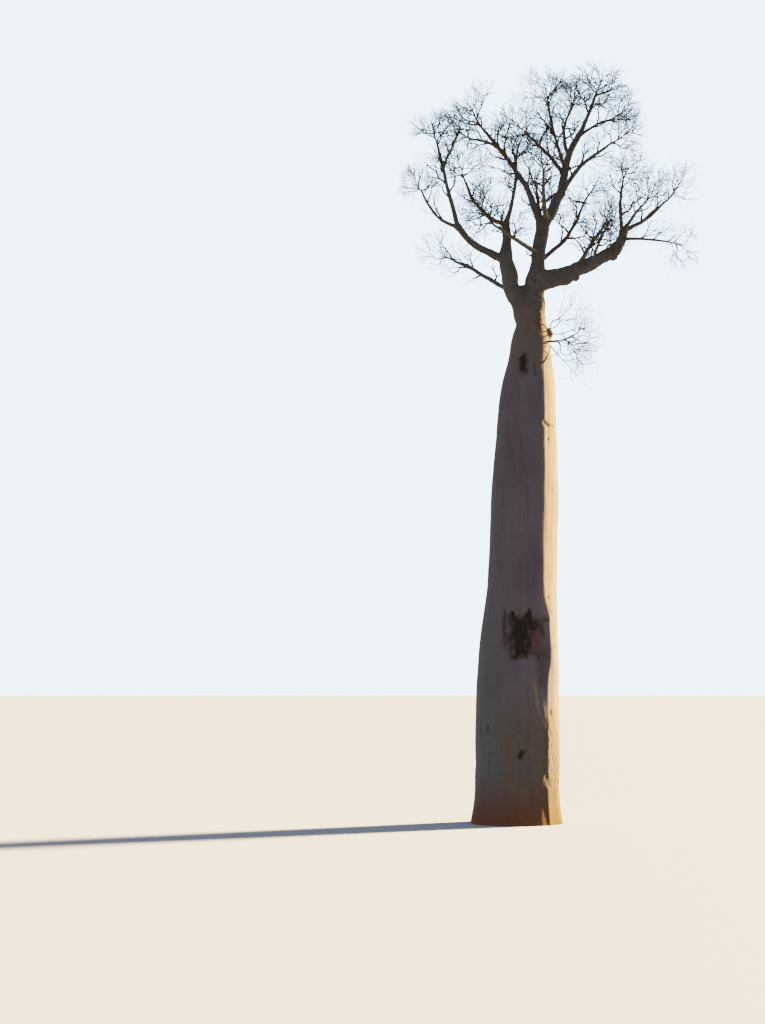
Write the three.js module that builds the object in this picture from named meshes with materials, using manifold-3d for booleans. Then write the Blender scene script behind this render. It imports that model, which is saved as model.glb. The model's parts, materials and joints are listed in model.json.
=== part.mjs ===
import * as THREE from 'three';
import Module from 'manifold-3d';
import { mergeVertices } from 'three/addons/utils/BufferGeometryUtils.js';

// A bare baobab: a tall barrel trunk, a fork high up, boughs, and a twig mass at each bough's tip.
// Millimetres and degrees. +Z is up, +X runs to the crown's long side, +Y to its back.

// Trunk. Each station is a height, the radius there and how far the middle has leaned to +X.
const trunkStations = [
  [0, 1150, 0],
  [420, 1098, 5],
  [2100, 1072, 27],
  [3200, 1065, 35],
  [4400, 1025, 70],
  [5700, 925, 145],
  [7000, 868, 205],
  [8300, 862, 250],
  [9600, 806, 290],
  [10900, 728, 340],
  [11450, 660, 375],
  [11950, 560, 410],
  [12500, 490, 435],
  [12950, 375, 450],
  [13330, 325, 430],
  [13430, 205, 430],
];
const trunkSides = 24;
const trunkRings = 25;
const flareSwell = 0.05;
const flareHeight = 850;
const flareRound = 0.6;
const flareLobes = [3, 5, 8];
const flarePhase = 1.7;

// Boughs. Each leaves a point on its parent at a heading (0 is +X, 90 is +Y) and a climb over level,
// and bends evenly by turn and lift on its way to its tip. twigs is the reach of the mass on its tip.
const boughs = [
  { name: 'left_bough', from: 'trunk', at: 0.953, heading: 172, climb: 58, turn: -8, lift: 22,
    length: 1900, foot: 265, tip: 185 },
  { name: 'leader', from: 'trunk', at: 0.957, heading: 5, climb: 84, turn: 5, lift: -2,
    length: 2600, foot: 250, tip: 172 },
  { name: 'right_bough', from: 'leader', at: 0.41, heading: -10, climb: 0, turn: 0, lift: 38,
    length: 2300, foot: 235, tip: 145 },
  { name: 'right_bend', from: 'right_bough', at: 0.95, heading: 5, climb: 58, turn: -5, lift: 15,
    length: 720, foot: 130, tip: 105 },
  { name: 'upper_leader', from: 'leader', at: 1, heading: 15, climb: 55, turn: 0, lift: 10,
    length: 1050, foot: 160, tip: 118 },
  { name: 'left_outer_bough', from: 'left_bough', at: 1, heading: -167, climb: 8, turn: 15, lift: 42,
    length: 1650, foot: 120, tip: 84 },
  { name: 'left_high_bough', from: 'left_outer_bough', at: 1, heading: -135, climb: 70, turn: 5, lift: 0,
    length: 1950, foot: 66, tip: 40, twigs: 850 },
  { name: 'left_fork_bough', from: 'left_high_bough', at: 0.8, heading: 65, climb: 55, turn: 5, lift: -10,
    length: 1200, foot: 44, tip: 34, twigs: 750 },
  { name: 'left_low_bough', from: 'left_outer_bough', at: 0.97, heading: 155, climb: 20, turn: -25,
    lift: 40, length: 1500, foot: 54, tip: 36, twigs: 760 },
  { name: 'left_inner_bough', from: 'left_bough', at: 0.97, heading: 95, climb: 70, turn: -15, lift: -5,
    length: 1200, foot: 140, tip: 110 },
  { name: 'left_back_bough', from: 'left_inner_bough', at: 0.95, heading: 135, climb: 20, turn: -20,
    lift: 35, length: 2350, foot: 68, tip: 38, twigs: 1100 },
  { name: 'left_front_bough', from: 'left_inner_bough', at: 0.98, heading: -65, climb: 55, turn: -25,
    lift: -30, length: 1700, foot: 62, tip: 38, twigs: 900 },
  { name: 'low_left_bough', from: 'left_bough', at: 0.45, heading: 150, climb: 35, turn: -20, lift: -10,
    length: 2300, foot: 72, tip: 40, twigs: 1050 },
  { name: 'top_left_bough', from: 'leader', at: 0.97, heading: -140, climb: 65, turn: -10, lift: -25,
    length: 2850, foot: 98, tip: 46, twigs: 1000 },
  { name: 'mid_left_bough', from: 'top_left_bough', at: 0.8, heading: -110, climb: 5, turn: -20, lift: -10,
    length: 1250, foot: 46, tip: 34, twigs: 900 },
  { name: 'top_bough', from: 'upper_leader', at: 1, heading: 45, climb: 80, turn: -15, lift: -20,
    length: 1750, foot: 106, tip: 80 },
  { name: 'summit_bough', from: 'top_bough', at: 1, heading: 20, climb: 60, turn: 5, lift: 10,
    length: 1000, foot: 68, tip: 44, twigs: 930 },
  { name: 'summit_side_bough', from: 'top_bough', at: 0.97, heading: -40, climb: 25, turn: -15, lift: -30,
    length: 1100, foot: 46, tip: 34, twigs: 850 },
  { name: 'right_high_bough', from: 'upper_leader', at: 0.97, heading: -50, climb: 42, turn: 5, lift: -28,
    length: 1850, foot: 74, tip: 40, twigs: 950 },
  { name: 'back_left_bough', from: 'top_bough', at: 0.3, heading: 130, climb: 48, turn: -15, lift: -15,
    length: 2100, foot: 62, tip: 38, twigs: 1050 },
  { name: 'inner_high_bough', from: 'top_bough', at: 0.4, heading: -125, climb: 50, turn: 20, lift: 0,
    length: 1550, foot: 54, tip: 36, twigs: 850 },
  { name: 'top_back_bough', from: 'top_bough', at: 0.62, heading: 115, climb: 50, turn: -55, lift: 0,
    length: 2000, foot: 56, tip: 36, twigs: 900 },
  { name: 'front_bough', from: 'upper_leader', at: 0.2, heading: -95, climb: 5, turn: 5, lift: 15,
    length: 2250, foot: 74, tip: 42, twigs: 1100 },
  { name: 'right_inner_bough', from: 'leader', at: 0.62, heading: 35, climb: 30, turn: 30, lift: 25,
    length: 2450, foot: 66, tip: 40, twigs: 950 },
  { name: 'low_front_bough', from: 'leader', at: 0.68, heading: -120, climb: 10, turn: 5, lift: -5,
    length: 2250, foot: 72, tip: 42, twigs: 1100 },
  { name: 'back_bough', from: 'leader', at: 0.85, heading: 90, climb: 40, turn: 5, lift: 5,
    length: 2550, foot: 80, tip: 42, twigs: 1100 },
  { name: 'right_back_bough', from: 'right_bough', at: 0.45, heading: 70, climb: 40, turn: -5, lift: -5,
    length: 2600, foot: 76, tip: 42, twigs: 1050 },
  { name: 'right_upright_bough', from: 'right_bend', at: 0.75, heading: 100, climb: 65, turn: -25,
    lift: -20, length: 1900, foot: 56, tip: 34, twigs: 850 },
  { name: 'right_front_bough', from: 'right_bend', at: 0.9, heading: -75, climb: 20, turn: 5, lift: -10,
    length: 1250, foot: 54, tip: 34, twigs: 1000 },
  { name: 'right_outer_bough', from: 'right_bend', at: 0.85, heading: 10, climb: 25, turn: 30, lift: 20,
    length: 1400, foot: 60, tip: 36, twigs: 1020 },
  { name: 'right_low_bough', from: 'right_bend', at: 0.55, heading: -30, climb: -5, turn: -10, lift: -10,
    length: 1200, foot: 50, tip: 30, twigs: 850, hang: 0.22 },
  { name: 'right_spur', from: 'right_bough', at: 0.66, heading: -75, climb: 50, turn: 5, lift: -25,
    length: 1000, foot: 50, tip: 34, twigs: 800 },
];
const boughSides = 7;
const boughRingSpacing = 420;

// The mass on the trunk's right shoulder has no bough under it. Its stem's foot is cut by the trunk.
const shoulder = { height: 12300, heading: -28, climb: -4, radius: 42, reach: 1120, hang: 0.15 };
const shoulderSink = 70;

// Twig masses. A mass keeps to a ball, whose middle is out and up from the bough's tip by shares of
// its reach. Order 0 is the stem on the tip, and the shoots of each order bear the next.
const ballOut = 0.42;
const ballUp = 0.25;
const firstSeed = 101;
const twigOrders = [
  { joints: 3, rise: 0.12, shoots: 6, shrink: 0.86 },
  { joints: 2, rise: 0.18, shoots: 4, shrink: 0.6 },
  { joints: 1, rise: 0, shoots: 0, shrink: 0 },
];
const stemLength = 0.95;
const stemThickness = 0.92;
const shootThickness = 0.5;
const leastTwigRadius = 3;
const shortestTwig = 180;
const roomStep = 0.06;
const twigSides = 3;
const twigTaper = 0.5;
const twigWander = 0.15;
const shootFrom = 0.22;
const shootSpan = 0.66;
const shootSpread = { least: 35, most: 66 };
const shootTurn = 0.3;
const shootLength = { least: 0.82, most: 1.12, atFoot: 1.2, lossToTip: 0.5 };

// Clearances. Pieces that meet keep the gap, and twigs stay further off other masses and limbs.
const gap = 0.3;
const edgeMargin = 12;
const limbMargin = 25;
const beadSpacing = 60;

const colours = { trunk: 0x8a7b78, bough: 0x5c524c, twigs: 0x6f6259 };
const roughness = 0.92;

const wasm = await Module();
wasm.setup();

const degrees = Math.PI / 180;
const goldenAngle = Math.PI * (3 - Math.sqrt(5));

function direction(heading, climb) {
  const level = Math.cos(climb * degrees);
  return new THREE.Vector3(
    level * Math.cos(heading * degrees),
    level * Math.sin(heading * degrees),
    Math.sin(climb * degrees),
  );
}

function toSolid(geometry) {
  geometry.deleteAttribute('normal');
  geometry.deleteAttribute('uv');
  const welded = mergeVertices(geometry, 1e-3);
  return new wasm.Manifold(new wasm.Mesh({
    numProp: 3,
    vertProperties: new Float32Array(welded.attributes.position.array),
    triVerts: new Uint32Array(welded.index.array),
  }));
}

function toGeometry(solid) {
  const mesh = solid.getMesh();
  const geometry = new THREE.BufferGeometry();
  geometry.setAttribute('position', new THREE.BufferAttribute(mesh.vertProperties, 3));
  geometry.setIndex(new THREE.BufferAttribute(mesh.triVerts, 1));
  geometry.computeVertexNormals();
  return geometry;
}

// A limb is a list of points from foot to tip with a radius at each.
function pointOn(limb, share) {
  const place = share * (limb.points.length - 1);
  const index = Math.min(Math.floor(place), limb.points.length - 2);
  return limb.points[index].clone().lerp(limb.points[index + 1], place - index);
}

function radiusOn(limb, share) {
  const place = share * (limb.radii.length - 1);
  const index = Math.min(Math.floor(place), limb.radii.length - 2);
  return THREE.MathUtils.lerp(limb.radii[index], limb.radii[index + 1], place - index);
}

function wayOn(limb, share) {
  const index = Math.min(Math.floor(share * (limb.points.length - 1)), limb.points.length - 2);
  return limb.points[index + 1].clone().sub(limb.points[index]).normalize();
}

// Turns a closed lathe of the limb's radii and lays its rings on the limb's points. grow fattens it
// and lengthens both ends by the same amount, which makes the cutter that leaves the gap.
function limbSolid(limb, sides, grow = 0) {
  const last = limb.points.length - 1;
  const profile = [new THREE.Vector2(0, 0)];
  limb.radii.forEach((radius, ring) => profile.push(new THREE.Vector2(radius + grow, ring)));
  if (limb.radii[last] > 0) profile.push(new THREE.Vector2(0, last));
  const geometry = new THREE.LatheGeometry(profile, sides);
  const frames = limb.points.map((point, ring) => {
    const before = wayOn(limb, Math.max(ring - 1, 0) / last);
    const after = wayOn(limb, Math.min(ring, last - 0.5) / last);
    return before.add(after).normalize();
  });
  const across = new THREE.Vector3(0, 1, 0);
  if (Math.abs(frames[0].y) > 0.9) across.set(1, 0, 0);
  const rings = frames.map((way, ring) => {
    across.addScaledVector(way, -across.dot(way)).normalize();
    const side = new THREE.Vector3().crossVectors(way, across);
    const centre = limb.points[ring].clone();
    if (ring === 0) centre.addScaledVector(way, -grow);
    if (ring === last) centre.addScaledVector(way, grow);
    return { centre, across: across.clone(), side };
  });
  const position = geometry.attributes.position;
  for (let i = 0; i < position.count; i++) {
    const ring = rings[Math.round(position.getY(i))];
    const place = ring.centre.clone();
    place.addScaledVector(ring.across, position.getX(i));
    place.addScaledVector(ring.side, -position.getZ(i));
    position.setXYZ(i, place.x, place.y, place.z);
  }
  return toSolid(geometry);
}

function boundsMeet(a, b) {
  const first = a.boundingBox();
  const second = b.boundingBox();
  return [0, 1, 2].every((axis) => (
    first.min[axis] < second.max[axis] && second.min[axis] < first.max[axis]
  ));
}

// The trunk is round in section, with shallow root lobes that die away above the ground.
function flare(angle, height) {
  const lobes = flareLobes.reduce((sum, count, i) => sum + Math.sin(count * angle + flarePhase * i), 0);
  return 1 + flareSwell * Math.exp(-height / flareHeight) * (flareRound + lobes / flareLobes.length);
}

function trunkLimb() {
  const curve = new THREE.CatmullRomCurve3(
    trunkStations.map(([height, radius, lean]) => new THREE.Vector3(lean, radius, height)),
    false,
    'chordal',
  );
  const stations = curve.getSpacedPoints(trunkRings);
  return {
    points: stations.map((station) => new THREE.Vector3(station.x, 0, station.z)),
    radii: stations.map((station) => station.y),
  };
}

function trunkSolid(limb, grow = 0) {
  const profile = [new THREE.Vector2(0, 0)];
  limb.radii.forEach((radius, ring) => profile.push(new THREE.Vector2(radius + grow, ring)));
  profile.push(new THREE.Vector2(0, limb.radii.length - 1));
  const geometry = new THREE.LatheGeometry(profile, trunkSides);
  const position = geometry.attributes.position;
  for (let i = 0; i < position.count; i++) {
    const centre = limb.points[Math.round(position.getY(i))];
    const x = position.getX(i);
    const y = -position.getZ(i);
    const swell = flare(Math.atan2(y, x), centre.z);
    const raised = position.getY(i) === limb.radii.length - 1 ? grow : 0;
    position.setXYZ(i, centre.x + x * swell, y * swell, centre.z + raised);
  }
  return toSolid(geometry);
}

// A bough's middle line bends evenly. One that goes on from its parent's tip starts a little
// behind it, where the outer edges of the two meet.
function boughLimb(row, parent) {
  const rings = Math.max(2, Math.round(row.length / boughRingSpacing));
  const foot = pointOn(parent, row.at);
  if (row.at === 1) {
    const bend = wayOn(parent, 1).angleTo(direction(row.heading, row.climb));
    foot.addScaledVector(direction(row.heading, row.climb), -row.foot * Math.tan(bend / 2));
  }
  const points = [foot];
  const radii = [row.foot];
  for (let ring = 0; ring < rings; ring++) {
    const share = (ring + 0.5) / rings;
    const way = direction(row.heading + row.turn * share, row.climb + row.lift * share);
    points.push(points[ring].clone().addScaledVector(way, row.length / rings));
    radii.push(THREE.MathUtils.lerp(row.foot, row.tip, (ring + 1) / rings));
  }
  return { points, radii };
}

// Random numbers. A shoot's seed comes from its parent's seed and its place on it, so finer
// orders can be added without moving the coarser ones.
function shootSeed(seed, index) {
  let mixed = Math.imul(seed ^ Math.imul(index + 1, 0x9e3779b1), 0x85ebca6b) >>> 0;
  mixed = (mixed ^ (mixed >>> 13)) >>> 0;
  return Math.imul(mixed, 0xc2b2ae35) >>> 0;
}

function dice(seed) {
  let state = seed >>> 0;
  return (low, high) => {
    state = (state + 0x6d2b79f5) >>> 0;
    let mixed = Math.imul(state ^ (state >>> 15), state | 1);
    mixed ^= mixed + Math.imul(mixed ^ (mixed >>> 7), mixed | 61);
    return low + (high - low) * ((mixed ^ (mixed >>> 14)) >>> 0) / 4294967296;
  };
}

// Beads along the limbs, which no twig may touch.
function beadsOf(limb) {
  const beads = [];
  for (let ring = 0; ring < limb.points.length - 1; ring++) {
    const count = Math.ceil(limb.points[ring].distanceTo(limb.points[ring + 1]) / beadSpacing);
    for (let k = 0; k <= count; k++) {
      beads.push({
        centre: limb.points[ring].clone().lerp(limb.points[ring + 1], k / count),
        radius: THREE.MathUtils.lerp(limb.radii[ring], limb.radii[ring + 1], k / count),
      });
    }
  }
  return beads;
}

// Each mass keeps to a ball, less what is nearer to the other masses' balls.
function insideSpace(mass, point, radius) {
  const own = point.distanceToSquared(mass.centre) - mass.reach ** 2;
  if (point.distanceTo(mass.centre) + radius > mass.reach) return false;
  return masses.every((other) => {
    if (other === mass) return true;
    const theirs = point.distanceToSquared(other.centre) - other.reach ** 2;
    return (theirs - own) / (2 * mass.centre.distanceTo(other.centre)) > radius + edgeMargin;
  });
}

function clearOfLimbs(mass, points, radius) {
  for (let joint = 0; joint < points.length - 1; joint++) {
    const count = Math.ceil(points[joint].distanceTo(points[joint + 1]) / beadSpacing);
    for (let k = 0; k <= count; k++) {
      const place = points[joint].clone().lerp(points[joint + 1], k / count);
      const touches = mass.beads.some((bead) => (
        place.distanceTo(bead.centre) < bead.radius + radius + limbMargin
      ));
      if (touches) return false;
    }
  }
  return true;
}

// How far a straight shoot can go before it leaves its mass's space.
function roomFor(mass, foot, way, wanted, radius) {
  let room = wanted;
  while (room > shortestTwig && !insideSpace(mass, foot.clone().addScaledVector(way, room), radius)) {
    room -= roomStep * wanted;
  }
  return room;
}

// A shoot leaves its parent straight and then wanders and rises a little at each joint. One that
// would be too short, leave the mass's space or touch a limb is skipped with all that it bears.
function growShoot(mass, seed, foot, aim, length, radius, order) {
  const roll = dice(seed);
  const { joints, rise, shoots, shrink } = twigOrders[order];
  const room = order === 0 ? length : roomFor(mass, foot, aim, length, radius);
  const way = aim.clone();
  const points = [foot];
  const radii = [radius];
  for (let joint = 1; joint <= joints; joint++) {
    points.push(points[joint - 1].clone().addScaledVector(way, room / joints));
    radii.push(joint < joints ? radius * (1 - twigTaper * joint / joints) : 0);
    way.x += roll(-twigWander, twigWander);
    way.y += roll(-twigWander, twigWander);
    way.z += roll(-twigWander, twigWander) + rise - mass.hang;
    way.normalize();
  }
  if (room <= shortestTwig) return;
  if (order > 0 && !points.every((point, joint) => insideSpace(mass, point, radii[joint]))) return;
  if (order > 0 && !clearOfLimbs(mass, points, radius)) return;
  const shoot = { points, radii };
  mass.shoots.push(shoot);
  const firstTurn = roll(0, 2 * Math.PI);
  for (let index = 0; index < shoots; index++) {
    const share = shootFrom + shootSpan * (index + roll(0.2, 0.8)) / shoots;
    const turn = firstTurn + goldenAngle * index + roll(-shootTurn, shootTurn);
    const spread = roll(shootSpread.least, shootSpread.most) * degrees;
    const vigour = roll(shootLength.least, shootLength.most);
    const nextLength = length * shrink * vigour * (shootLength.atFoot - shootLength.lossToTip * share);
    const nextRadius = Math.max(leastTwigRadius, shootThickness * radiusOn(shoot, share));
    const along = wayOn(shoot, share);
    const level = new THREE.Vector3(-along.y, along.x, 0.001).normalize();
    const side = new THREE.Vector3().crossVectors(along, level).normalize();
    const nextAim = along.multiplyScalar(Math.cos(spread));
    nextAim.addScaledVector(level, Math.sin(spread) * Math.cos(turn));
    nextAim.addScaledVector(side, Math.sin(spread) * Math.sin(turn));
    nextAim.normalize();
    const nextFoot = pointOn(shoot, share);
    growShoot(mass, shootSeed(seed, index), nextFoot, nextAim, nextLength, nextRadius, order + 1);
  }
}

function massAt(name, foot, way, radius, reach, hang) {
  const centre = foot.clone().addScaledVector(way, ballOut * reach);
  centre.z += (ballUp - hang) * reach;
  return { name, foot, way, radius, reach, hang, centre, shoots: [] };
}

const limbs = { trunk: trunkLimb() };
const solids = { trunk: trunkSolid(limbs.trunk) };
const trunkCutter = trunkSolid(limbs.trunk, gap);
const cutters = [trunkCutter];
boughs.forEach((row) => {
  const limb = boughLimb(row, limbs[row.from]);
  let solid = limbSolid(limb, boughSides);
  cutters.forEach((cutter) => {
    if (boundsMeet(solid, cutter)) solid = solid.subtract(cutter);
  });
  limbs[row.name] = limb;
  solids[row.name] = solid.decompose().reduce((best, piece) => (
    piece.volume() > best.volume() ? piece : best
  ));
  cutters.push(limbSolid(limb, boughSides, gap));
});

const masses = boughs.filter((row) => row.twigs).map((row) => {
  const limb = limbs[row.name];
  const way = wayOn(limb, 1);
  const foot = pointOn(limb, 1).addScaledVector(way, gap);
  const name = `${row.name.replace('_bough', '')}_twigs`;
  return massAt(name, foot, way, stemThickness * row.tip, row.twigs, row.hang ?? 0);
});
const shoulderShare = shoulder.height / limbs.trunk.points.at(-1).z;
const shoulderFoot = pointOn(limbs.trunk, shoulderShare).addScaledVector(
  direction(shoulder.heading, 0),
  radiusOn(limbs.trunk, shoulderShare) - shoulderSink,
);
const shoulderWay = direction(shoulder.heading, shoulder.climb);
const shoulderMass = massAt(
  'shoulder_twigs', shoulderFoot, shoulderWay, shoulder.radius, shoulder.reach, shoulder.hang,
);
masses.push(shoulderMass);

const allBeads = Object.values(limbs).flatMap(beadsOf);
masses.forEach((mass, index) => {
  mass.beads = allBeads.filter((bead) => (
    bead.centre.distanceTo(mass.centre) < mass.reach + bead.radius + 2 * limbMargin
  ));
  growShoot(mass, firstSeed + index, mass.foot, mass.way, stemLength * mass.reach, mass.radius, 0);
  const solid = wasm.Manifold.union(mass.shoots.map((shoot) => limbSolid(shoot, twigSides)));
  solids[mass.name] = mass === shoulderMass ? solid.subtract(trunkCutter) : solid;
});

const group = new THREE.Group();
Object.entries(solids).forEach(([name, solid]) => {
  const color = colours[name.split('_').at(-1)] ?? colours.bough;
  const material = new THREE.MeshStandardMaterial({ color, roughness, metalness: 0 });
  const mesh = new THREE.Mesh(toGeometry(solid), material);
  mesh.name = name;
  group.add(mesh);
});

export default group;
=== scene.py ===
import json
import math

import bmesh
import bpy
import numpy as np
from mathutils import Matrix, Vector, kdtree, noise

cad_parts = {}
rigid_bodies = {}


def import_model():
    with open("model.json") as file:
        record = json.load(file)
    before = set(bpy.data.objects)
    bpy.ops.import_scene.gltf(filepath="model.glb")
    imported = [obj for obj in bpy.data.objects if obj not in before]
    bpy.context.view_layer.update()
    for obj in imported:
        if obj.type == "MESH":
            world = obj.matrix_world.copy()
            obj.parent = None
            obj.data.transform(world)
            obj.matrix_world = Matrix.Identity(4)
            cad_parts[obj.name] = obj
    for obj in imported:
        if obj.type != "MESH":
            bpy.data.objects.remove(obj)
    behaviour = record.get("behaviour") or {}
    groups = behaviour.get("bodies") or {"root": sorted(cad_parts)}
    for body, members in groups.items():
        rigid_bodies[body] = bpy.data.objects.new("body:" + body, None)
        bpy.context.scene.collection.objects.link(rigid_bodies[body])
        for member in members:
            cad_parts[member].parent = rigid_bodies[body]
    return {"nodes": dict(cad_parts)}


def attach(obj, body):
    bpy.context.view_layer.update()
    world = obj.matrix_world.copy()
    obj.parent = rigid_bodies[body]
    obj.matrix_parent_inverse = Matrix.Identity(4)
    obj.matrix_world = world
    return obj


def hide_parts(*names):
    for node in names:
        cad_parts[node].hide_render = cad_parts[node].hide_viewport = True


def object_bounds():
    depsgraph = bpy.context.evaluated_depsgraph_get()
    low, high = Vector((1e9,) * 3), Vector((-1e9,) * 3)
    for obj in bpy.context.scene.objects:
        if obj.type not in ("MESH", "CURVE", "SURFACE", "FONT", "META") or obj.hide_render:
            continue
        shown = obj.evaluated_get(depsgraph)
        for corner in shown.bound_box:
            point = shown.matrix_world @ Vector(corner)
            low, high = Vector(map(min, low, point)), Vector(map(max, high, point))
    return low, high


# A bare baobab, in metres and degrees. +Z is up, +X runs to the crown's long side, -Y faces the camera.
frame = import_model()
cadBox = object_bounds()
scene = bpy.context.scene
print(f"frame loaded with {len(frame['nodes'])} nodes")


# Camera, light and floor

camera = {
    "sensorWidth": 36,
    "imageHeight": 1024,
    "focalPixels": 1994,
    "distance": 51.4,  # from the trunk's foot
    "eyeHeight": 3.66,
    "pitchUp": 4.79,
    "turnLeft": 3.82,
    "seesTo": 2000,
}
studio = {
    "look": "Medium High Contrast",
    "backdrop": (2.45, 3.3, 4.2),
    "fillColour": (0.99, 0.97, 1.04),
    "fillStrength": 0.25,
    "keyColour": (1.0, 0.62, 0.30),
    "keyStrength": 25,
    "keyHeading": 124,  # round from the camera, to the right
    "keyHeight": 17,
    "beamAim": 6.25,  # the height that its beam on the trunk is aimed at
    "beamRadius": 6.8,
    "beamSoftness": 0.055,
    "beamDistance": 100,
    "beamSource": 0.6,  # its lamp's radius
    "crownStrength": 2,  # on boughs and twigs, which stand over the beam
    "floorStrength": 40,
    "sunWidth": 7,
    "floorColour": (0.58, 0.70, 0.9),
    "floorRoughness": 0.9,
    "floorReach": 400,
    "floorSides": 96,
}


def makeCamera():
    lens = bpy.data.cameras.new("camera")
    lens.sensor_width = camera["sensorWidth"]
    lens.lens = camera["focalPixels"] / camera["imageHeight"] * camera["sensorWidth"]
    lens.clip_end = camera["seesTo"]
    body = bpy.data.objects.new("camera", lens)
    body.location = (0, -camera["distance"], camera["eyeHeight"])
    body.rotation_euler = (math.radians(90 + camera["pitchUp"]), 0, math.radians(camera["turnLeft"]))
    scene.collection.objects.link(body)
    scene.camera = body


# Shader maths: a Wire wraps a socket, and sums and products of Wires add the Math nodes

class Wire:
    def __init__(self, finish, socket):
        self.finish = finish
        self.socket = socket

    def maths(self, operation, first, second):
        return self.finish.node("ShaderNodeMath", {"operation": operation}, {0: first, 1: second})

    def __add__(self, other):
        return self.maths("ADD", self, other)

    def __radd__(self, other):
        return self.maths("ADD", other, self)

    def __sub__(self, other):
        return self.maths("SUBTRACT", self, other)

    def __rsub__(self, other):
        return self.maths("SUBTRACT", other, self)

    def __mul__(self, other):
        return self.maths("MULTIPLY", self, other)

    def __rmul__(self, other):
        return self.maths("MULTIPLY", other, self)


class Finish:
    def __init__(self, material):
        material.use_nodes = True
        self.tree = material.node_tree
        self.tree.nodes.clear()

    def node(self, kind, settings=None, values=None, result=0):
        made = self.tree.nodes.new(kind)
        for name, value in (settings or {}).items():
            setattr(made, name, value)
        for key, value in (values or {}).items():
            if isinstance(value, Wire):
                self.tree.links.new(value.socket, made.inputs[key])
            else:
                made.inputs[key].default_value = value
        if made.outputs:
            return Wire(self, made.outputs[result])

    def place(self, stretch=(1, 1, 1)):
        spot = self.node("ShaderNodeTexCoord", result="Object")
        return self.node("ShaderNodeMapping", values={"Vector": spot, "Scale": stretch})

    def cloud(self, place, scale, detail=3, roughness=0.55):
        values = {"Vector": place, "Scale": scale, "Detail": detail, "Roughness": roughness}
        return self.node("ShaderNodeTexNoise", values=values)

    def along(self, axis):
        spot = self.node("ShaderNodeTexCoord", result="Object")
        return self.node("ShaderNodeSeparateXYZ", values={0: spot}, result=axis)

    def marked(self, name):
        return self.node("ShaderNodeAttribute", {"attribute_name": name}, result="Fac")

    def step(self, value, low, high):
        settings = {"interpolation_type": "SMOOTHSTEP"}
        values = {"Value": value, "From Min": low, "From Max": high}
        return self.node("ShaderNodeMapRange", settings, values)

    def blend(self, mask, first, second):
        values = {0: mask, 6: first, 7: second}
        return self.node("ShaderNodeMix", {"data_type": "RGBA"}, values, result=2)

    def bump(self, height, strength, depth):
        values = {"Height": height, "Strength": strength, "Distance": depth}
        return self.node("ShaderNodeBump", values=values)

    def coat(self, colour, roughness, normal=None, shine=0.25):
        values = {"Base Color": colour, "Roughness": roughness, "Specular IOR Level": shine}
        if normal:
            values["Normal"] = normal
        surface = self.node("ShaderNodeBsdfPrincipled", values=values)
        self.node("ShaderNodeOutputMaterial", values={"Surface": surface})


def tone(red, green, blue):
    # A colour as a picture shows it, 0 to 255, turned into the shader's linear one
    return (*[((part / 255 + 0.055) / 1.055) ** 2.4 for part in (red, green, blue)], 1)


def makeStudio():
    world = bpy.data.worlds.new("studio")
    scene.world = world
    light = Finish(world)
    seen = light.node("ShaderNodeLightPath", result="Is Camera Ray")
    fill, backdrop = (
        light.node("ShaderNodeBackground", values={"Color": (*colour, 1), "Strength": strength})
        for colour, strength in ((studio["fillColour"], studio["fillStrength"]), (studio["backdrop"], 1))
    )
    mixed = light.node("ShaderNodeMixShader", values={0: seen, 1: fill, 2: backdrop})
    light.node("ShaderNodeOutputWorld", values={"Surface": mixed})

    paint = bpy.data.materials.new("floor_paint")
    Finish(paint).coat((*studio["floorColour"], 1), studio["floorRoughness"])
    disc = bmesh.new()
    bmesh.ops.create_circle(disc, cap_ends=True, segments=studio["floorSides"], radius=studio["floorReach"])
    floor = keep(disc, "floor", [paint])
    floor.visible_diffuse = False
    scene.view_settings.view_transform = "Filmic"
    scene.view_settings.look = studio["look"]
    print("camera, backdrop and floor made")
    return floor


def addLamp(name, kind, strength, lit):
    # A lamp low on the sunny side, which lights only the pieces it is given
    lamp = bpy.data.lights.new(name, kind)
    lamp.color = studio["keyColour"]
    towards = direction(studio["keyHeading"] - 90, studio["keyHeight"])
    body = bpy.data.objects.new(name, lamp)
    body.rotation_euler = towards.to_track_quat("Z", "Y").to_euler()
    if kind == "SUN":
        lamp.energy = strength
        lamp.angle = math.radians(studio["sunWidth"])
    else:
        # As strong at the trunk as a sun of that strength
        distance = studio["beamDistance"]
        lamp.energy = strength * 4 * math.pi * distance ** 2
        lamp.shadow_soft_size = studio["beamSource"]
        lamp.spot_size = 2 * math.atan(studio["beamRadius"] / distance)
        lamp.spot_blend = studio["beamSoftness"]
        body.location = towards * distance + Vector((0, 0, studio["beamAim"]))
    scene.collection.objects.link(body)
    body.light_linking.receiver_collection = bpy.data.collections.new(name)
    for piece in lit:
        body.light_linking.receiver_collection.objects.link(piece)


def addPiece(name, data, materials):
    for material in materials:
        data.materials.append(material)
    piece = bpy.data.objects.new(name, data)
    scene.collection.objects.link(piece)
    return piece


def keep(shape, name, materials):
    # Turns a bmesh into an object of the scene
    data = bpy.data.meshes.new(name)
    shape.to_mesh(data)
    shape.free()
    return addPiece(name, data, materials)


# Limbs: a row of joints from foot to tip with a radius at each

class Limb:
    def __init__(self, joints, radii):
        self.joints = joints
        self.radii = radii

    def split(self, share):
        spot = share * (len(self.joints) - 1)
        index = min(int(spot), len(self.joints) - 2)
        return index, spot - index

    def point(self, share):
        index, part = self.split(share)
        return self.joints[index].lerp(self.joints[index + 1], part)

    def radius(self, share):
        index, part = self.split(share)
        return self.radii[index] * (1 - part) + self.radii[index + 1] * part

    def way(self, share):
        index = self.split(share)[0]
        return (self.joints[index + 1] - self.joints[index]).normalized()


def direction(heading, climb):
    level = math.cos(math.radians(climb))
    return Vector((
        level * math.cos(math.radians(heading)),
        level * math.sin(math.radians(heading)),
        math.sin(math.radians(climb)),
    ))


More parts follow.
